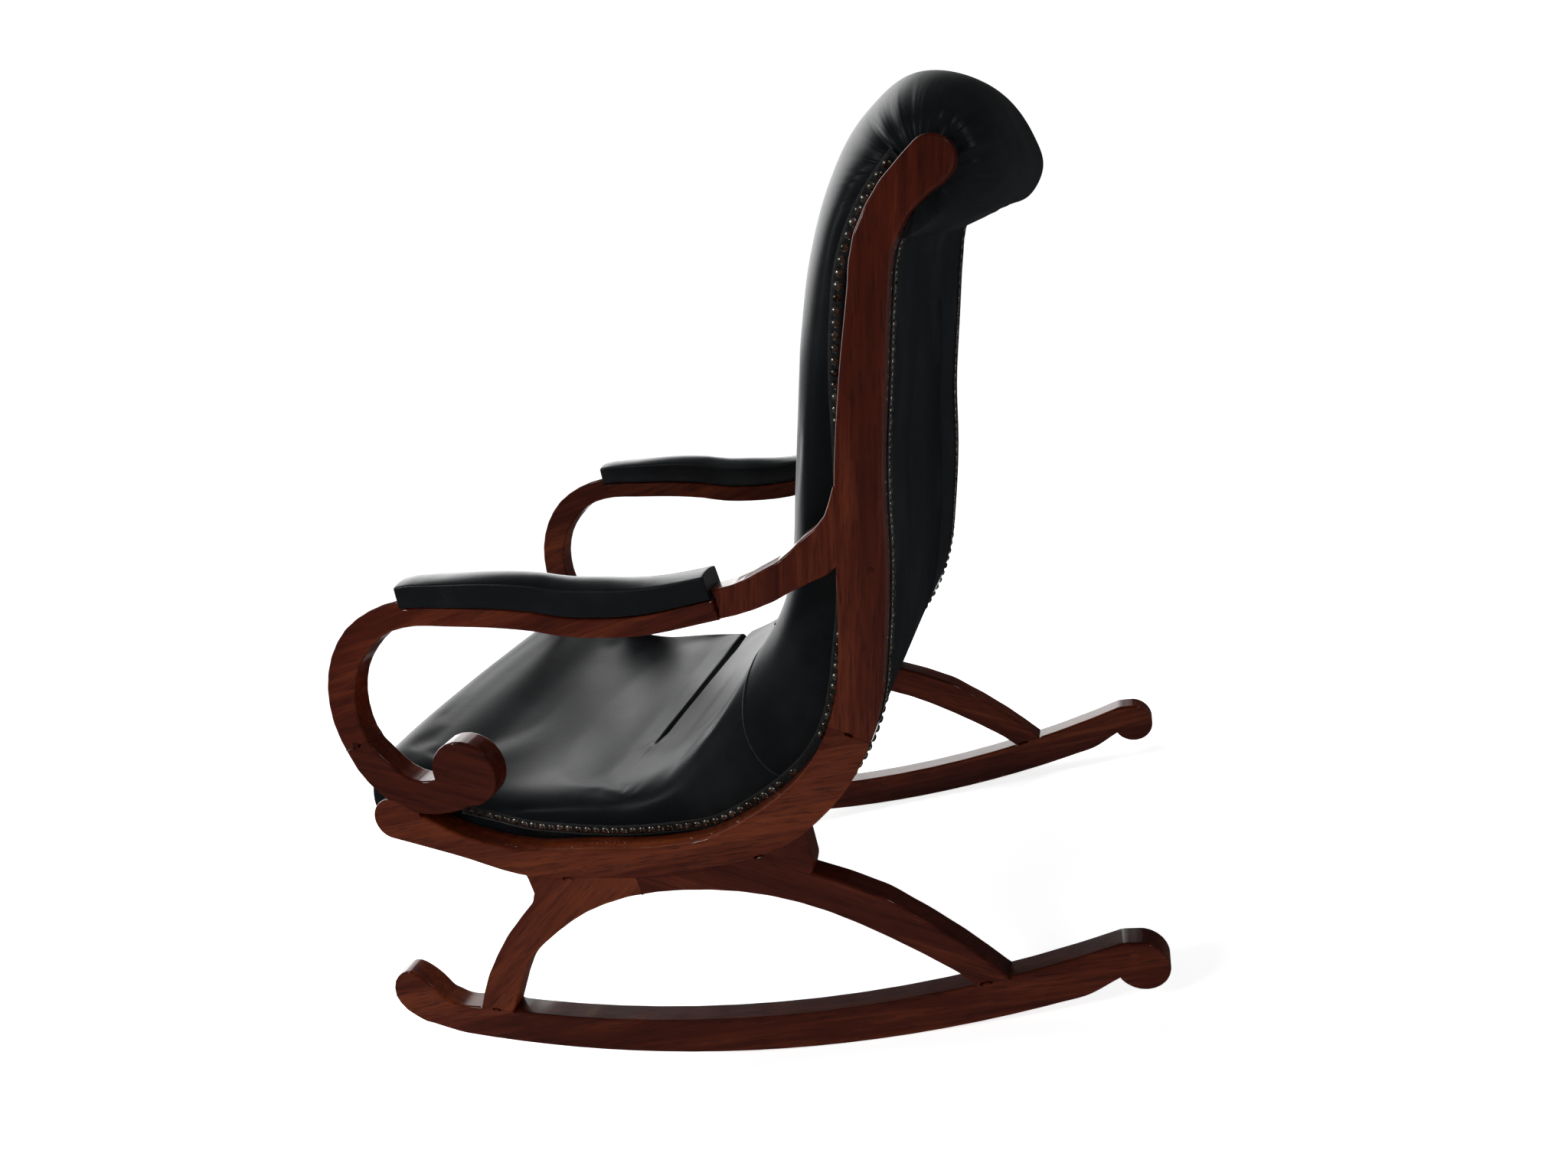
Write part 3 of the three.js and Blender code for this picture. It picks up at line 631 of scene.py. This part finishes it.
# The leather body: seat, back and head roll under one cover
body = {
    # The face in the side view, from under the seat's front up over the back to beneath the head
    "face": [(-450, 322), (-470, 340), (-475, 368), (-463, 396), (-435, 410), (-402, 400), (-350, 365),
             (-290, 337), (-221, 323), (-160, 311), (-110, 319), (-50, 356), (10, 403), (60, 447), (92, 495),
             (119, 562), (148, 640), (175, 716), (198, 768), (236, 824), (288, 867), (342, 883), (385, 860),
             (406, 815), (407, 780), (388, 757), (350, 749), (306, 750)],
    # The wall starts below the boards' edge, to cover their outer faces
    "foot": -7 * mm, "half": 251.85 * mm, "wall": 27 * mm, "lowestShare": 0.7,
    # It is lower round the top of the post
    "postTop": (341, 826), "topWall": 15 * mm, "topReach": (25 * mm, 70 * mm),
    # The seat is tight and square at its right side, rounder at its left, and the back is rounder yet
    "seatRoll": {1: 44 * mm, -1: 20 * mm}, "seatTo": (-100, 323), "roll": 58 * mm, "rollRibs": 34,
    "square": 2.6, "crown": {1: 8 * mm, -1: 2 * mm},   # how far the face falls towards each side
    # The head is a barrel: drawn in further at its ends and fuller on top
    "headFrom": (168, 690), "headRibs": (-10, 26), "headRoll": 160 * mm,
    "headTop": (300, 866), "headFull": 13 * mm, "headReach": 85 * mm,
    "columns": 240, "rows": 84, "wallRows": 4, "finer": 1, "middleShare": 0.5, "fillShare": 0.9,
    "pressure": 0.45, "frames": 20, "cap": 5 * mm,
}
crease = {
    # Pressed in after the cover has been blown up. It is wider on the right and ends before the left side.
    "at": (-160, 311), "deep": 14 * mm, "width": 3.6 * mm, "widest": 5.0 * mm,
    "dip": 4 * mm, "dipWidth": 22 * mm, "dipReach": 66 * mm, "dipFrom": (-235 * mm, -150 * mm),
    "end": (95 * mm, 142 * mm), "closer": 2.2, "reach": 26 * mm,
}


def gridBox(alongCount, acrossCount, deepCount):
    # A cube from -1 to 1 with gridded sides. Its hidden bottom keeps whole strips.
    bm = bmesh.new()
    bmesh.ops.create_cube(bm, size=2)
    inner = 1 - tiny
    for axis, count in ((0, alongCount), (2, deepCount), (1, acrossCount)):
        rungs = []
        for edge in bm.edges:
            a, b = (v.co for v in edge.verts)
            below = axis == 1 and max(a.z, b.z) < -inner and abs(a.x) < inner
            if abs(a[axis] - b[axis]) > tiny and not below:
                rungs.append(edge)
        bmesh.ops.subdivide_edges(bm, edges=rungs, cuts=count - 1, use_grid_fill=True)
    return bm


def evenly(line, count, weight=lambda point: 1):
    # count + 1 points along a line, closer where the weight is larger
    marks = [0]
    for a, b in zip(line, line[1:]):
        marks.append(marks[-1] + (b - a).xy.length * weight(a))
    points = []
    for i in range(count + 1):
        distance = marks[-1] * i / count
        k = min(bisect_right(marks, distance) - 1, len(line) - 2)
        points.append(lerp(line[k], line[k + 1], (distance - marks[k]) / (marks[k + 1] - marks[k])))
    return points


def bodyStations():
    # Each station has a point of the face and the place on the upholstery's edge that it rises from
    keys, last = [], None
    for y, z in body["face"]:
        point = sidePoint(y, z)
        distance = upholsteryEdge.near(point)
        while last is not None and distance - last > upholsteryEdge.length / 2:
            distance -= upholsteryEdge.length
        while last is not None and last - distance > upholsteryEdge.length / 2:
            distance += upholsteryEdge.length
        last = distance
        keys.append(Vector((point.x, point.y, distance)))
    pinch = sidePoint(*crease["at"])

    def weight(point):
        return 1 + crease["closer"] * bump((point.xy - pinch).length, 0, crease["reach"])

    return evenly(curveThrough(keys, lineStep), body["columns"], weight)


leatherCloth = {"quality": 6, "mass": 0.3, "tension_stiffness": 18, "compression_stiffness": 18,
                "shear_stiffness": 12, "bending_stiffness": 1.5}


def plump(piece, held, pressure, frames, cap):
    # Blows the piece up a little with its held points fixed, and limits how far each point goes
    before = [v.co.copy() for v in piece.data.vertices]
    group = piece.vertex_groups.new(name="held")
    group.add(held, 1, "REPLACE")
    cloth = piece.modifiers.new("cloth", "CLOTH")
    for name, value in leatherCloth.items():
        setattr(cloth.settings, name, value)
    cloth.settings.use_pressure = True
    cloth.settings.uniform_pressure_force = pressure
    cloth.settings.vertex_group_mass = "held"
    cloth.settings.effector_weights.gravity = 0
    cloth.collision_settings.use_collision = False
    cloth.point_cache.frame_start, cloth.point_cache.frame_end = 1, frames
    for number in range(1, frames + 1):
        bpy.context.scene.frame_set(number)
    applyModifiers(piece)
    bpy.context.scene.frame_set(1)
    farthest = 0
    for vertex, old in zip(piece.data.vertices, before):
        moved = vertex.co - old
        farthest = max(farthest, moved.length)
        if moved.length > cap:
            vertex.co = old + moved * (cap / moved.length)
    piece.vertex_groups.clear()
    print(f"{piece.name}: the cover moved up to {farthest / mm:.1f} mm")


def bodyRibs():
    # One rib per station: where it starts, where it points, and how it is rounded
    postTop = edgeNear(*body["postTop"])
    length = upholsteryEdge.length
    stations = bodyStations()
    headTop = sidePoint(*body["headTop"])
    seatEnd, headStart = (min(range(len(stations)), key=lambda k: (stations[k].xy - sidePoint(*place)).length)
                          for place in (body["seatTo"], body["headFrom"]))
    ribs = []
    for k, face in enumerate(stations):
        root = upholsteryEdge.at(face.z, body["foot"])
        apart = abs((face.z - postTop + length / 2) % length - length / 2)
        head = fade(k - headStart, *body["headRibs"])
        back = fade(k - seatEnd, 0, body["rollRibs"])
        rolls = {side: lerp(roll, body["roll"], back) for side, roll in body["seatRoll"].items()}
        ribs.append({
            "face": face.xy, "root": root, "reach": (face.xy - root).normalized(),
            "tall": (face.xy - root).length,
            "low": lerp(body["topWall"], body["wall"], fade(apart, *body["topReach"])),
            "roll": {side: lerp(roll, body["headRoll"], head) for side, roll in rolls.items()},
            "full": body["headFull"] * bump((face.xy - headTop).length, 0, body["headReach"]),
        })
    return ribs


def bodyCage(ribs, material):
    bm = gridBox(body["columns"], body["rows"], body["wallRows"])
    along = bm.verts.layers.float.new("along")
    across = bm.verts.layers.float.new("across")
    depth = bm.verts.layers.float.new("depth")
    flat, half, power = body["middleShare"], body["half"], 2 / body["square"]
    for vert in bm.verts:
        u, v, w = vert.co
        vert[along], vert[across], vert[depth] = (u + 1) / 2, v, w
        rib = ribs[round((u + 1) / 2 * body["columns"])]
        low = min(rib["low"], body["lowestShare"] * rib["tall"])
        turn = max(0, (abs(v) - flat) / (1 - flat)) * pi / 2
        side = 1 if v > 0 else -1
        middle = half - rib["roll"][side]
        if abs(v) <= flat:
            x, height = middle * v / flat, 1
        else:
            x = side * (middle + rib["roll"][side] * sin(turn) ** power)
            height = max(0, cos(turn)) ** power
        fall = body["crown"][side] * (x / half) ** 4
        tall = low + (rib["tall"] - low - fall) * height
        tall += rib["full"] * height * (1 - (x / half) ** 2)
        share = (w + 1) / 2
        vert.co = at(lerp(v * half, x, share), rib["root"] + rib["reach"] * tall * share)
    bmesh.ops.recalc_face_normals(bm, faces=bm.faces)
    return finished("leather_body", bm, material)


def makeBody(material):
    ribs = bodyRibs()
    piece = bodyCage(ribs, material)
    held = []
    places = [piece.data.attributes[name].data for name in ("along", "across", "depth")]
    for i, (u, v, w) in enumerate(zip(*places)):
        if w.value < 1 - tiny or abs(v.value) > 1 - tiny or not tiny < u.value < 1 - tiny:
            held.append(i)
    plump(piece, held, body["pressure"], body["frames"], body["cap"])
    subdivide(piece, body["finer"])
    pressCrease(piece, ribs)
    shapeBody(piece)
    return settle(piece, "padded_leather", "seat_cushion", "back_cushion", "head_roll")


def pressCrease(piece, ribs):
    # The fold between seat and back
    pinch = sidePoint(*crease["at"])
    data = piece.data
    places, depths = data.attributes["along"].data, data.attributes["depth"].data
    for vertex, place, depth in zip(data.vertices, places, depths):
        station = min(place.value * body["columns"], body["columns"] - tiny)
        k = int(station)
        face = lerp(ribs[k]["face"], ribs[k + 1]["face"], station - k)
        off = (face - pinch).length
        if off > crease["dipReach"]:
            continue
        x = vertex.co.x
        width = lerp(crease["widest"], crease["width"], fade(x, -body["half"], crease["end"][0]))
        dip = crease["dip"] * bump(off, 0, crease["dipWidth"]) * fade(x, *crease["dipFrom"])
        deep = crease["deep"] * bump(off, 0, width) + dip
        here = 1 - fade(x, *crease["end"])
        vertex.co -= at(0, ribs[k]["reach"]) * deep * here * (depth.value + 1) / 2
    data.update()


puckers = {
    # Lobes round the post's top, and short wrinkles where the crease dies out
    "lobes": 4.6, "lobeDeep": 2.6 * mm, "from": 165 * mm, "to": 232 * mm, "inner": 34 * mm, "outer": 95 * mm,
    "drift": 0.4, "layer": {1: 7, -1: 2},   # the two sides read different parts of the noise
    "wrinkleAt": 146 * mm, "wrinkleReach": 20 * mm, "wrinkleGap": 13 * mm, "wrinkleDeep": 1.1 * mm,
    "wrinkleSlope": 0.35, "leastShare": 0.02, "topShare": 0.75,
}


def shapeBody(piece):
    data = piece.data
    center, pinch = sidePoint(*leatherLook["fanAt"]), sidePoint(*crease["at"])
    normals = [v.normal.copy() for v in data.vertices]
    for vertex, normal, depth in zip(data.vertices, normals, data.attributes["depth"].data):
        if (depth.value + 1) / 2 < puckers["topShare"]:
            continue
        co = vertex.co
        ray = co.yz - center
        reach = 1 - fade(ray.length, puckers["inner"], puckers["outer"])
        aside = fade(abs(co.x), puckers["from"], puckers["to"])
        if reach * aside > 0:
            angle, layer = atan2(ray.y, ray.x), puckers["layer"][1 if co.x > 0 else -1]
            lobe = noise.noise(Vector((angle * puckers["lobes"], puckers["drift"] * reach, layer)))
            vertex.co += normal * puckers["lobeDeep"] * lobe * reach * aside
        across, along = co.x - puckers["wrinkleAt"], co.y - pinch.x
        near = bump(across, 0, puckers["wrinkleReach"]) * bump(along, 0, puckers["wrinkleGap"])
        if near > puckers["leastShare"]:
            wave = cos(2 * pi * (along + puckers["wrinkleSlope"] * across) / puckers["wrinkleGap"])
            vertex.co += normal * puckers["wrinkleDeep"] * wave * near
    data.update()


seam = {
    # A dark seam on each side, from the inner back down towards the seat
    "line": [(58, 440), (46, 432), (26, 411), (14, 392), (7, 372), (4, 352), (6, 332), (16, 308), (34, 292)],
    "radius": 1.1 * mm, "rounding": 2, "sink": 0.3 * mm, "from": 400 * mm,
}


def makeSeam(hand, coverPiece, material):
    # Follows the cover, found by looking at it from the side
    sign = hands[hand]
    tree = BVHTree.FromObject(coverPiece, bpy.context.evaluated_depsgraph_get())
    line = curveThrough([sidePoint(*place) for place in seam["line"]], lineStep)
    found = [tree.ray_cast(at(sign * seam["from"], p), Vector((-sign, 0, 0))) for p in line]
    places = [place - Vector((sign, 0, 0)) * seam["sink"] for place, *_ in found if place]
    curve = bpy.data.curves.new("seam", "CURVE")
    curve.dimensions, curve.use_fill_caps = "3D", True
    curve.bevel_depth, curve.bevel_resolution = seam["radius"], seam["rounding"]
    spline = curve.splines.new("POLY")
    spline.points.add(len(places) - 1)
    for point, place in zip(spline.points, places):
        point.co = (*place, 1)
    holder = bpy.data.objects.new("seam", curve)
    bm = bmesh.new()
    bm.from_mesh(holder.to_mesh())
    holder.to_mesh_clear()
    bpy.data.objects.remove(holder)
    bmesh.ops.remove_doubles(bm, verts=bm.verts, dist=tiny)
    bmesh.ops.recalc_face_normals(bm, faces=bm.faces)
    return settle(finished(f"seam_{hand}", bm, material), "leather")


# Arm pads
pad = {
    "columns": 64, "rows": 14, "deep": 8, "finer": 2, "aside": 3 * mm, "step": 4 * mm,
    "crownShare": 0.10, "drawInShare": 0.06, "widthShare": 0.97, "fillShare": 0.85,
    # How far the middle stands up, and where that comes and goes from -1 at the back to 1 at the front
    "lift": 11 * mm, "liftShares": (-1.3, 0.1), "fallShares": (0.25, 1), "domeShare": 0.55,
    "pressure": 0.5, "frames": 16, "cap": 1.5 * mm,
}


def makePad(hand, material):
    node = f"arm_pad_{hand}"
    lo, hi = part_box(node)
    middle, half = (lo.x + hi.x) / 2, (hi.x - lo.x) / 2
    outline = sectionOf(node, middle + pad["aside"])
    turns = turnsOf(outline)
    # The four sharpest turns are its corners, and the two longest runs between them its base and top
    corners = sorted(sorted(range(len(outline)), key=lambda i: -turns[i])[:4])
    long = sorted(runsBetween(outline, corners), key=lambda run: (run[-1] - run[0]).length)[-2:]
    base, top = sorted(long, key=lambda run: (run[0] + run[-1]).y)
    base, top = (run if run[0].x < run[-1].x else run[::-1] for run in (base, top))
    base, top = (evenly(curveThrough(run, pad["step"]), pad["columns"]) for run in (base, top))
    bm = gridBox(pad["columns"], pad["rows"], pad["deep"])
    fixed = []
    for vert in bm.verts:
        u, v, w = vert.co
        k = round((u + 1) / 2 * pad["columns"])
        share = (w + 1) / 2
        # The top is crowned, and the sides draw in a little towards it
        tall = share * (1 - pad["crownShare"] * v * v * share)
        wide = half * pad["widthShare"] * v * (1 - pad["drawInShare"] * share * share)
        full = pad["lift"] * fade(u, *pad["liftShares"]) * (1 - fade(u, *pad["fallShares"])) * share
        full *= 1 - pad["domeShare"] * v * v
        vert.co = at(middle + wide, lerp(base[k], top[k], tall) + Vector((0, full)))
        if w < -1 + tiny:
            fixed.append(vert.index)
    bmesh.ops.recalc_face_normals(bm, faces=bm.faces)
    piece = finished(node + "_cover", bm, material)
    plump(piece, fixed, pad["pressure"], pad["frames"], pad["cap"])
    subdivide(piece, pad["finer"])
    return settle(piece, "padded_leather", node)


# Bands, nails, outside back and dust cover follow the upholstery's edge
trim = {
    "bandWidth": 12 * mm, "bandThick": 1.1 * mm, "bandRows": 4, "bandRoundShare": 0.5,
    "skin": 5.2 * mm, "rearInset": 8 * mm,
    "nailGap": 10.8 * mm, "nailRadius": 4.2 * mm, "nailRise": 2.3 * mm, "nailSides": 10, "nailRings": 6,
    "radiusShares": (0.96, 1.03), "riseShares": (0.9, 1.1), "leanShares": (-0.07, 0.07),
    "seatShare": 0.9, "freeShare": 0.9,   # of the band's thickness and of the nail's radius
    # The nails run beside the show-wood, from the seat's front up to the top of the post
    "frontLine": [(-352, 331), (-316, 315), (-279, 298), (-230, 284), (-160, 269), (-110, 264), (-58, 263),
                  (-8, 277), (31, 294), (64, 315), (89, 340), (112, 378), (129, 416), (147, 458), (161, 500),
                  (176, 550), (193, 608), (206, 655), (226, 712), (245, 754), (269, 786), (299, 811),
                  (316, 822)],
    "woods": ("back_post_left", "seat_rail_left"),
}
spans = {
    # From and to, anticlockwise, as points of the side view near the upholstery's edge
    "rear": ((60, 262), (354, 790)),
    "outside_back": ((-26, 232), (330, 782)),
    "dust_cover": ((-410, 318), (-34, 232)),
}


def edgeSpan(name):
    low, high = (edgeNear(*place) for place in spans[name])
    return (low, high) if low < high else (low, high + upholsteryEdge.length)


def frontRibs(sign, gap):
    # Along the front line: a place, the band's half width there, and its thickness outwards
    line = curveThrough([sidePoint(*place) for place in trim["frontLine"]], lineStep)
    length = sum((b - a).length for a, b in zip(line, line[1:]))
    points = evenly(line, round(length / gap))
    ribs = []
    for i, point in enumerate(points):
        along = (points[min(i + 1, len(points) - 1)] - points[max(i - 1, 0)]).normalized()
        wide = at(0, Vector((-along.y, along.x)) * trim["bandWidth"] / 2)
        ribs.append((at(sign * body["half"], point), wide, Vector((sign * trim["bandThick"], 0, 0))))
    return ribs


def rearRibs(sign, gap):
    low, high = edgeSpan("rear")
    count = round((high - low) / gap)
    wide = Vector((trim["bandWidth"] / 2, 0, 0))
    x = sign * (body["half"] - trim["rearInset"])
    ribs = []
    for i in range(count + 1):
        distance = lerp(low, high, i / count)
        outward = at(0, upholsteryEdge.outwardAt(distance))
        place = at(x, upholsteryEdge.at(distance, trim["skin"]))
        ribs.append((place, wide, outward * trim["bandThick"]))
    return ribs


def makeBand(name, hand, ribs, material):
    # A ribbon whose section is a flat rounded strip
    bm = gridBox(len(ribs) - 1, trim["bandRows"], 1)
    for vert in bm.verts:
        u, v, w = vert.co
        place, wide, thick = ribs[round((u + 1) / 2 * (len(ribs) - 1))]
        vert.co = place + wide * v + thick * (w * (1 - trim["bandRoundShare"] * v ** 4) + 1) / 2
    bmesh.ops.recalc_face_normals(bm, faces=bm.faces)
    return settle(finished(f"{name}_{hand}", bm, material), "leather")


def makeNails(name, hand, ribs, material):
    shape = bmesh.new()
    bmesh.ops.create_uvsphere(shape, u_segments=trim["nailSides"], v_segments=trim["nailRings"], radius=1)
    bmesh.ops.bisect_plane(shape, geom=shape.verts[:] + shape.edges[:] + shape.faces[:],
                           plane_co=(0, 0, 0), plane_no=(0, 0, 1), clear_inner=True)
    bmesh.ops.holes_fill(shape, edges=shape.edges, sides=0)
    dome = bpy.data.meshes.new("dome")
    shape.to_mesh(dome)
    shape.free()
    chance = random.Random(name + hand)
    bm = bmesh.new()
    for place, _, thick in ribs:
        bm.from_mesh(dome)
        bm.verts.ensure_lookup_table()
        added = bm.verts[-len(dome.vertices):]
        radius = trim["nailRadius"] * chance.uniform(*trim["radiusShares"])
        size = Matrix.Diagonal((radius, radius, trim["nailRise"] * chance.uniform(*trim["riseShares"]), 1))
        lean = Vector([chance.uniform(*trim["leanShares"]) for _ in range(3)])
        turn = (thick.normalized() + lean).to_track_quat("Z", "Y").to_matrix().to_4x4()
        move = Matrix.Translation(place + thick * trim["seatShare"])
        bmesh.ops.transform(bm, matrix=move @ turn @ size, verts=added)
    bmesh.ops.recalc_face_normals(bm, faces=bm.faces)
    bpy.data.meshes.remove(dome)
    return settle(finished(f"{name}_{hand}", bm, material), "nail_brass")


def besideWood(ribs, outlines):
    # Leaves out the ribs that lie behind the frame
    free = []
    for rib in ribs:
        point = rib[0].yz
        gaps = []
        for outline in outlines:
            mark = outline.near(point)
            gaps.append((point - outline.at(mark)).dot(outline.outwardAt(mark)))
        if min(gaps) > trim["freeShare"] * trim["nailRadius"]:
            free.append(rib)
    return free


def makeTrim(hand, outlines, braid, brass):
    sign, gap = hands[hand], trim["nailGap"]
    makeBand("front_band", hand, frontRibs(sign, gap / 2), braid)
    makeNails("front_nails", hand, besideWood(frontRibs(sign, gap)[1:-1], outlines), brass)
    makeBand("rear_band", hand, rearRibs(sign, gap / 2), braid)
    makeNails("rear_nails", hand, rearRibs(sign, gap)[1:-1], brass)


skins = {
    # Sheets stretched over the frame: the rise over the boards' edge, thickness and slack
    "outside_back": {"rise": 3.4 * mm, "thick": 1.8 * mm, "slack": 2.2 * mm, "columns": 150, "rows": 60},
    "dust_cover": {"rise": 1.2 * mm, "thick": 0.8 * mm, "slack": 5 * mm, "columns": 60, "rows": 44},
}
tension = {"across": 5.5, "along": 0.6, "layer": 3.1, "slackShare": 0.22}


def makeSkin(name, material, slotName):
    skin = skins[name]
    low, high = edgeSpan(name)
    bm = gridBox(skin["columns"], skin["rows"], 1)
    half = body["half"]
    for vert in bm.verts:
        u, v, w = vert.co
        distance = lerp(low, high, (u + 1) / 2)
        # A stretched sheet falls in a little between its edges, with shallow tension folds
        slack = skin["slack"] * (1 - v * v) * (1 - u ** 4)
        ripple = noise.noise(Vector((v * tension["across"], u * tension["along"], tension["layer"])))
        ripple *= tension["slackShare"] * skin["slack"] * (1 - v ** 6)
        grow = skin["rise"] + skin["thick"] * (w + 1) / 2 - slack + ripple
        vert.co = at(v * half, upholsteryEdge.at(distance, grow))
    bmesh.ops.recalc_face_normals(bm, faces=bm.faces)
    piece = finished(name + "_cover", bm, material)
    high - low
    return settle(piece, slotName, name)


# The making
makeStudio()
print("studio ready")

cover = makeLeather("cover_leather", rough=0.33, shine=0.26, gathers=True)
padCover = makeLeather("pad_leather", rough=0.24, shine=0.60)
backCover = makeLeather("back_leather", rough=0.40, shine=0.12)
dustCloth = makeCloth("dust_cloth", dark=(0.004, 0.004, 0.004, 1), light=(0.02, 0.02, 0.02, 1), threads=300)
webbing = makeCloth("webbing", dark=(0.20, 0.15, 0.08, 1), light=(0.40, 0.32, 0.20, 1), threads=120)
beech = makeGrained("beech")
steel = makeMetal("steel", dark=(0.30, 0.30, 0.29, 1), light=(0.55, 0.55, 0.54, 1), rough=0.25)
brass = makeMetal("nail_brass", dark=(0.16, 0.13, 0.09, 1), light=(0.80, 0.75, 0.64, 1), rough=0.14)
braid = makeGrained("braid")
mahogany = {name: makeMahogany(name, name == "rocker") for name in mahoganyLook["grain"]}
print("materials ready")

inside = {"beech": beech, "steel": steel, "webbing": webbing, "dust_cloth": dustCloth,
          "padded_leather": cover, "leather": backCover}
for row in frame["record"]["subparts"]:
    name, slotName = row["node"], row["material_slot"]
    kind = name.rsplit("_", 1)[0]
    data = frame["nodes"][name].data
    data.materials.clear()
    data.materials.append(mahogany.get(kind) or inside[slotName])
print("CAD pieces painted")

lo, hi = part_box(trim["woods"][0])
woodX = (lo.x + hi.x) / 2 + sawn["aside"]
woodOutlines = [EdgeLine(smoothOutline(sectionOf(name, woodX), sawn["step"], sawn["corner"]))
                for name in trim["woods"]]
for hand, sign in hands.items():
    trees = meetingTrees(hand)
    for name in sawn["names"]:
        makeSawn(name, hand, trees, mahogany[name])
    for name in plugs["over"]:
        lo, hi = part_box(f"{name}_{hand}")
        center = (lo + hi) / 2
        center.x = max(abs(lo.x), abs(hi.x)) * sign
        makePlug(f"{name}_{hand}_dome", center, mahogany[name], f"{name}_{hand}")
    lo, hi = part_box(f"seat_rail_{hand}")
    face = max(abs(lo.x), abs(hi.x)) * sign
    for name, place in plugs["extra"].items():
        makePlug(f"{name}_{hand}", at(face, sidePoint(*place)), mahogany["post_plug"])
    makePad(hand, padCover)
    makeTrim(hand, woodOutlines, braid, brass)
print("side frames, pads and trim made")

coverPiece = makeBody(cover)
for hand in hands:
    makeSeam(hand, coverPiece, braid)
makeSkin("outside_back", backCover, "leather")
makeSkin("dust_cover", dustCloth, "dust_cloth")
print("upholstery made")
